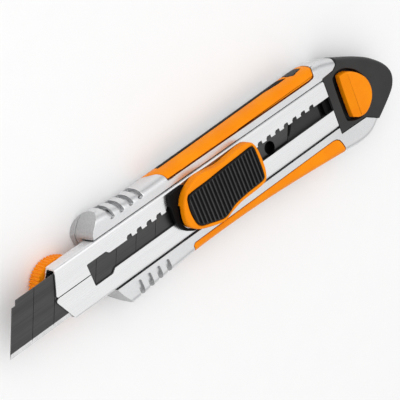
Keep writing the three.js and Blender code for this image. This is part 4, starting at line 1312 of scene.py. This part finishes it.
def make_cap():
    """The thumb cap: a hollow shell with a pocket for the pad, and the wedge for the pawl."""
    ring = smooth(SLIDER_CAP_EDGE, 8, closed=True)
    cap = rounded_plate(ring, (SLIDER_TOP_Z, *CAP_TOP_EDGE), (CAP_BOTTOM_Z, *CAP_FOOT_EDGE), 6)
    pad_ring = smooth(SLIDER_PAD_EDGE, 8, closed=True)
    tip_z = PAWL_TOP_Z + WEDGE_LIFT
    foot_y = PAWL_CREST_Y + (tip_z - CAP_BOTTOM_Z) * PAWL_TRAVEL / PRESS_TRAVEL
    root_z = CAP_CEILING_Z + 0.2
    wedge = [
        (PAWL_CREST_Y, tip_z), (foot_y, CAP_BOTTOM_Z), (WEDGE_HIGH_Y, CAP_BOTTOM_Z),
        (WEDGE_HIGH_Y, root_z), (PAWL_CREST_Y, root_z),
    ]
    cut(
        cap,
        prism(inset(ring, CAP_WALL), CAP_BOTTOM_Z - 1, CAP_CEILING_Z),
        prism(inset(pad_ring, -GAP / 2), PAD_BASE_Z - GAP, SLIDER_TOP_Z + 1),
        block(*CAP_FRONT_OPENING, (CAP_BOTTOM_Z - 1, CAP_FRONT_OPENING_TOP_Z)),
    )
    add(cap, prism(wedge, PAWL_X - PAWL_HALF_WIDTH, PAWL_X + PAWL_HALF_WIDTH, along="X"))
    fit(shade(soften(cap, 0.2)), "slider_cap")


def make_pad():
    """The rubber pad: rounded ribs across it, and a low border round them."""
    top = []
    rib = PAD_RIB_PITCH * PAD_RIB_SHARE
    for i in range(PAD_RIB_COUNT):
        x = PAD_FIRST_RIB_X + i * PAD_RIB_PITCH
        for step in range(9):
            t = step / 8
            rise = (PAD_CREST_Z - PAD_VALLEY_Z) * math.sin(math.pi * t) ** PAD_RIB_FULLNESS
            top.append((x + rib * t, PAD_VALLEY_Z + rise))
    low, high = PAD_BASE_Z, PAD_VALLEY_Z
    start, end = PAD_RANGE_X
    profile = [(start, low), (end, low), (end, high), *reversed(top), (start, high)]
    ring = inset(smooth(SLIDER_PAD_EDGE, 8, closed=True), GAP / 2)
    ribs = meet(
        prism(inset(ring, PAD_BORDER_WIDTH / 2), PAD_BASE_Z, PAD_CREST_Z + 1),
        prism(profile, *PAD_RANGE_Y, along="Y"),
    )
    plate = rounded_plate(ring, (PAD_BORDER_Z, *PAD_TOP_EDGE), (PAD_BASE_Z, *PAD_FOOT_EDGE), 4)
    pad = add(cut(plate, prism(inset(ring, PAD_BORDER_WIDTH), PAD_VALLEY_Z, PAD_CREST_Z)), ribs)
    repaint_base(pad, RUBBER)
    pale_above = PAD_CREST_Z - PAD_CREST_DEPTH
    repaint(pad, PALE_CREST_RUBBER, lambda at, n: n.z > 0.7 and at.z > pale_above)
    fit(shade(pad, 50), "slider_pad")


def make_slider_pins():
    top = PIN_HEAD_TOP_Z
    for node, x, y, radius, head in (
        ("blade_pin", BLADE_HOLE[0], BLADE_HOLE[1], PIN_RADIUS, PIN_HEAD_RADIUS),
        ("slide_rivet", RIVET_X, 0, RIVET_RADIUS, RIVET_HEAD_RADIUS),
    ):
        pin = turned(x, y, [
            (radius - 0.15, -BLADE_HALF_THICKNESS), (radius, -BLADE_HALF_THICKNESS + 0.15),
            (radius, PIN_HEAD_LOW_Z), (head, PIN_HEAD_LOW_Z), (head, top - 0.3),
            (head - 0.15, top - 0.1), (head - 0.5, top),
        ])
        fit(shade(pin), node)


def make_spring(node, wound):
    """A coil spring for the node, on a mesh of its own."""
    spring = coil(node + "_coil", **wound)
    fit(shade(spring), node)
    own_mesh(spring)


# ---- magazine and end cap ----

def make_tray():
    """The tray under the spare blades, with a stop behind them that has a thumb notch."""
    half = TRAY_HALF_WIDTH
    stop_x = SPARE_TIP_X + BLADE_LENGTH + 0.6
    stop = [
        (slanted_x(stop_x, -half), -half), (TRAY_X[1], -half),
        (TRAY_X[1], half), (slanted_x(stop_x, half), half),
    ]
    notch = [(slanted_x(stop_x, y) + behind, y) for y, behind in TRAY_NOTCH]
    tray = add(
        block(TRAY_X, (-half, half), (TRAY_BOTTOM_Z, TRAY_FLOOR_Z)),
        prism(stop, TRAY_BLOCK_LOW_Z, TRAY_TOP_Z),
    )
    notch_floor = TRAY_TOP_Z - TRAY_NOTCH_DEPTH
    cut(tray, prism(rounded(notch, TRAY_NOTCH_CORNER), notch_floor, TRAY_TOP_Z + 1))
    soften(tray, 0.15)
    repaint_base(tray, DARK_PLASTIC)
    # Painted shade: the upward floors of the tray and of its thumb notch are painted black.
    painted_shade_below = notch_floor + 0.1
    repaint(tray, BLACK_PLASTIC_AND_SHADE, lambda at, n: at.z < painted_shade_below and n.z > 0.5)
    fit(shade(tray), "magazine_tray")


def make_end_cap():
    front, back = (FACE_Z, *END_CAP_FRONT_EDGE), (BACK_Z, *HANDLE_BACK_EDGE)
    cap = meet(
        rounded_plate(HANDLE_RING, front, back),
        prism(END_CAP_REGION, BACK_Z - 1, FACE_Z + 1),
    )
    tongue_y = (-TRAY_HALF_WIDTH, TRAY_HALF_WIDTH)
    add(cap, block(END_CAP_TONGUE_X, tongue_y, (TRAY_BOTTOM_Z, TRAY_TOP_Z)))
    recess_ring = smooth(RECESS_EDGE, 6, closed=True)
    x, y, low = BUTTON_SPRING["x"], BUTTON_SPRING["y"], BUTTON_SPRING["low"]
    cut(
        cap,
        prism(inset(recess_ring, -RECESS_MARGIN), BUTTON_ROOM_Z, FACE_Z + 1),
        block(*CATCH_ROOM, (BUTTON_ROOM_Z, CATCH_ROOM_TOP_Z)),
        round_hole(x, y, BUTTON_SPRING_WELL_RADIUS, low - GAP, 0),
    )
    fit(shade(soften(cap, 0.3)), "end_cap")


def make_button():
    """The D-shaped release: a flat top behind a crease, and a thumb slope ahead of it."""
    ring = smooth(BUTTON_EDGE, 8, closed=True)
    top, foot = (BUTTON_TOP_Z, *BUTTON_TOP_EDGE), (BUTTON_BOTTOM_Z, *BUTTON_FOOT_EDGE)
    button = rounded_plate(ring, top, foot, 6)
    front_x, front_z = BUTTON_FRONT
    start_x = BUTTON_SLOPE_START_X
    fall = (BUTTON_TOP_Z - front_z) / (BUTTON_CREASE_X - front_x)
    slope = prism([
        (start_x, BUTTON_TOP_Z - fall * (BUTTON_CREASE_X - start_x)),
        (BUTTON_CREASE_X, BUTTON_TOP_Z), (BUTTON_CREASE_X, BUTTON_TOP_Z + 4),
        (start_x, BUTTON_TOP_Z + 4),
    ], -20, 20, along="Y")
    fit(shade(soften(cut(button, slope), 0.2, 14, 3), 25), "end_cap_button")


# ---- light, floor and camera ----

def make_camera():
    """The view direction is given by the camera's right, up and back axes in the frame."""
    data = bpy.data.cameras.new("camera")
    data.sensor_width = 36
    data.lens = CAMERA_LENS
    data.clip_start = 0.01
    data.clip_end = 20
    camera = bpy.data.objects.new("camera", data)
    right = Vector(CAMERA_RIGHT).normalized()
    up = Vector(CAMERA_BACK).cross(right).normalized()
    turn = Matrix((right, up, right.cross(up))).transposed()
    camera.matrix_world = Matrix.Translation(spot(*CAMERA_PLACE)) @ turn.to_4x4()
    bpy.context.scene.collection.objects.link(camera)
    bpy.context.scene.camera = camera


def make_floor():
    half = FLOOR_HALF_SIZE
    corners = [(-half, -half), (half, -half), (half, half), (-half, half)]
    floor = solid("floor", [(x, y, BACK_Z) for x, y in corners], [(0, 1, 2, 3)])
    material, tree, shader = start_material("pale floor", Roughness=0.6)
    clouds = use(tree, MOULDED_TEXTURE, Texture_Scale=400.0)["Clouds"]
    feed(tree, shader, Base_Color=blend_colours(tree, clouds, grey(0.93), grey(0.95)))
    floor.data.materials.append(material)


def make_key_lamp():
    """A broad soft lamp that points at the middle of the knife."""
    data = bpy.data.lights.new("key lamp", "AREA")
    data.size = KEY_LAMP_SIZE
    data.energy = KEY_LAMP_POWER
    lamp = bpy.data.objects.new("key lamp", data)
    lamp.location = KEY_LAMP_PLACE
    lamp.rotation_euler = (-Vector(KEY_LAMP_PLACE)).to_track_quat("-Z", "Y").to_euler()
    bpy.context.scene.collection.objects.link(lamp)


def make_studio():
    """A soft dome, bright overhead and dimmer at the horizon, and one soft lamp."""
    world = bpy.data.worlds.new("studio dome")
    bpy.context.scene.world = world
    world.use_nodes = True
    tree = world.node_tree
    direction = put(tree, "TexCoord").outputs["Generated"]
    height = put(tree, "SeparateXYZ", {0: direction}).outputs["Z"]
    rise = remap(tree, height, 0.0, OVERHEAD_HEIGHT)
    sky = blend_colours(tree, rise, grey(HORIZON_TONE), grey(OVERHEAD_TONE))
    background = tree.nodes["Background"]
    tree.links.new(sky, background.inputs["Color"])
    background.inputs["Strength"].default_value = 1.0
    make_key_lamp()
    bpy.context.scene.view_settings.view_transform = "Standard"


make_camera()
make_casting()
make_cover()
make_grips()
make_back_screws()
make_channel()
make_blades()
make_wheel()
make_clamp()
make_carrier()
make_cap()
make_pad()
make_slider_pins()
make_spring("press_spring", PRESS_SPRING)
make_tray()
make_end_cap()
make_button()
make_spring("button_spring", BUTTON_SPRING)
for plain_node in ("slide_plate", "slider_pawl", "pawl_spring", "magazine_spring", "button_latch"):
    keep_node(plain_node)
make_floor()
make_studio()
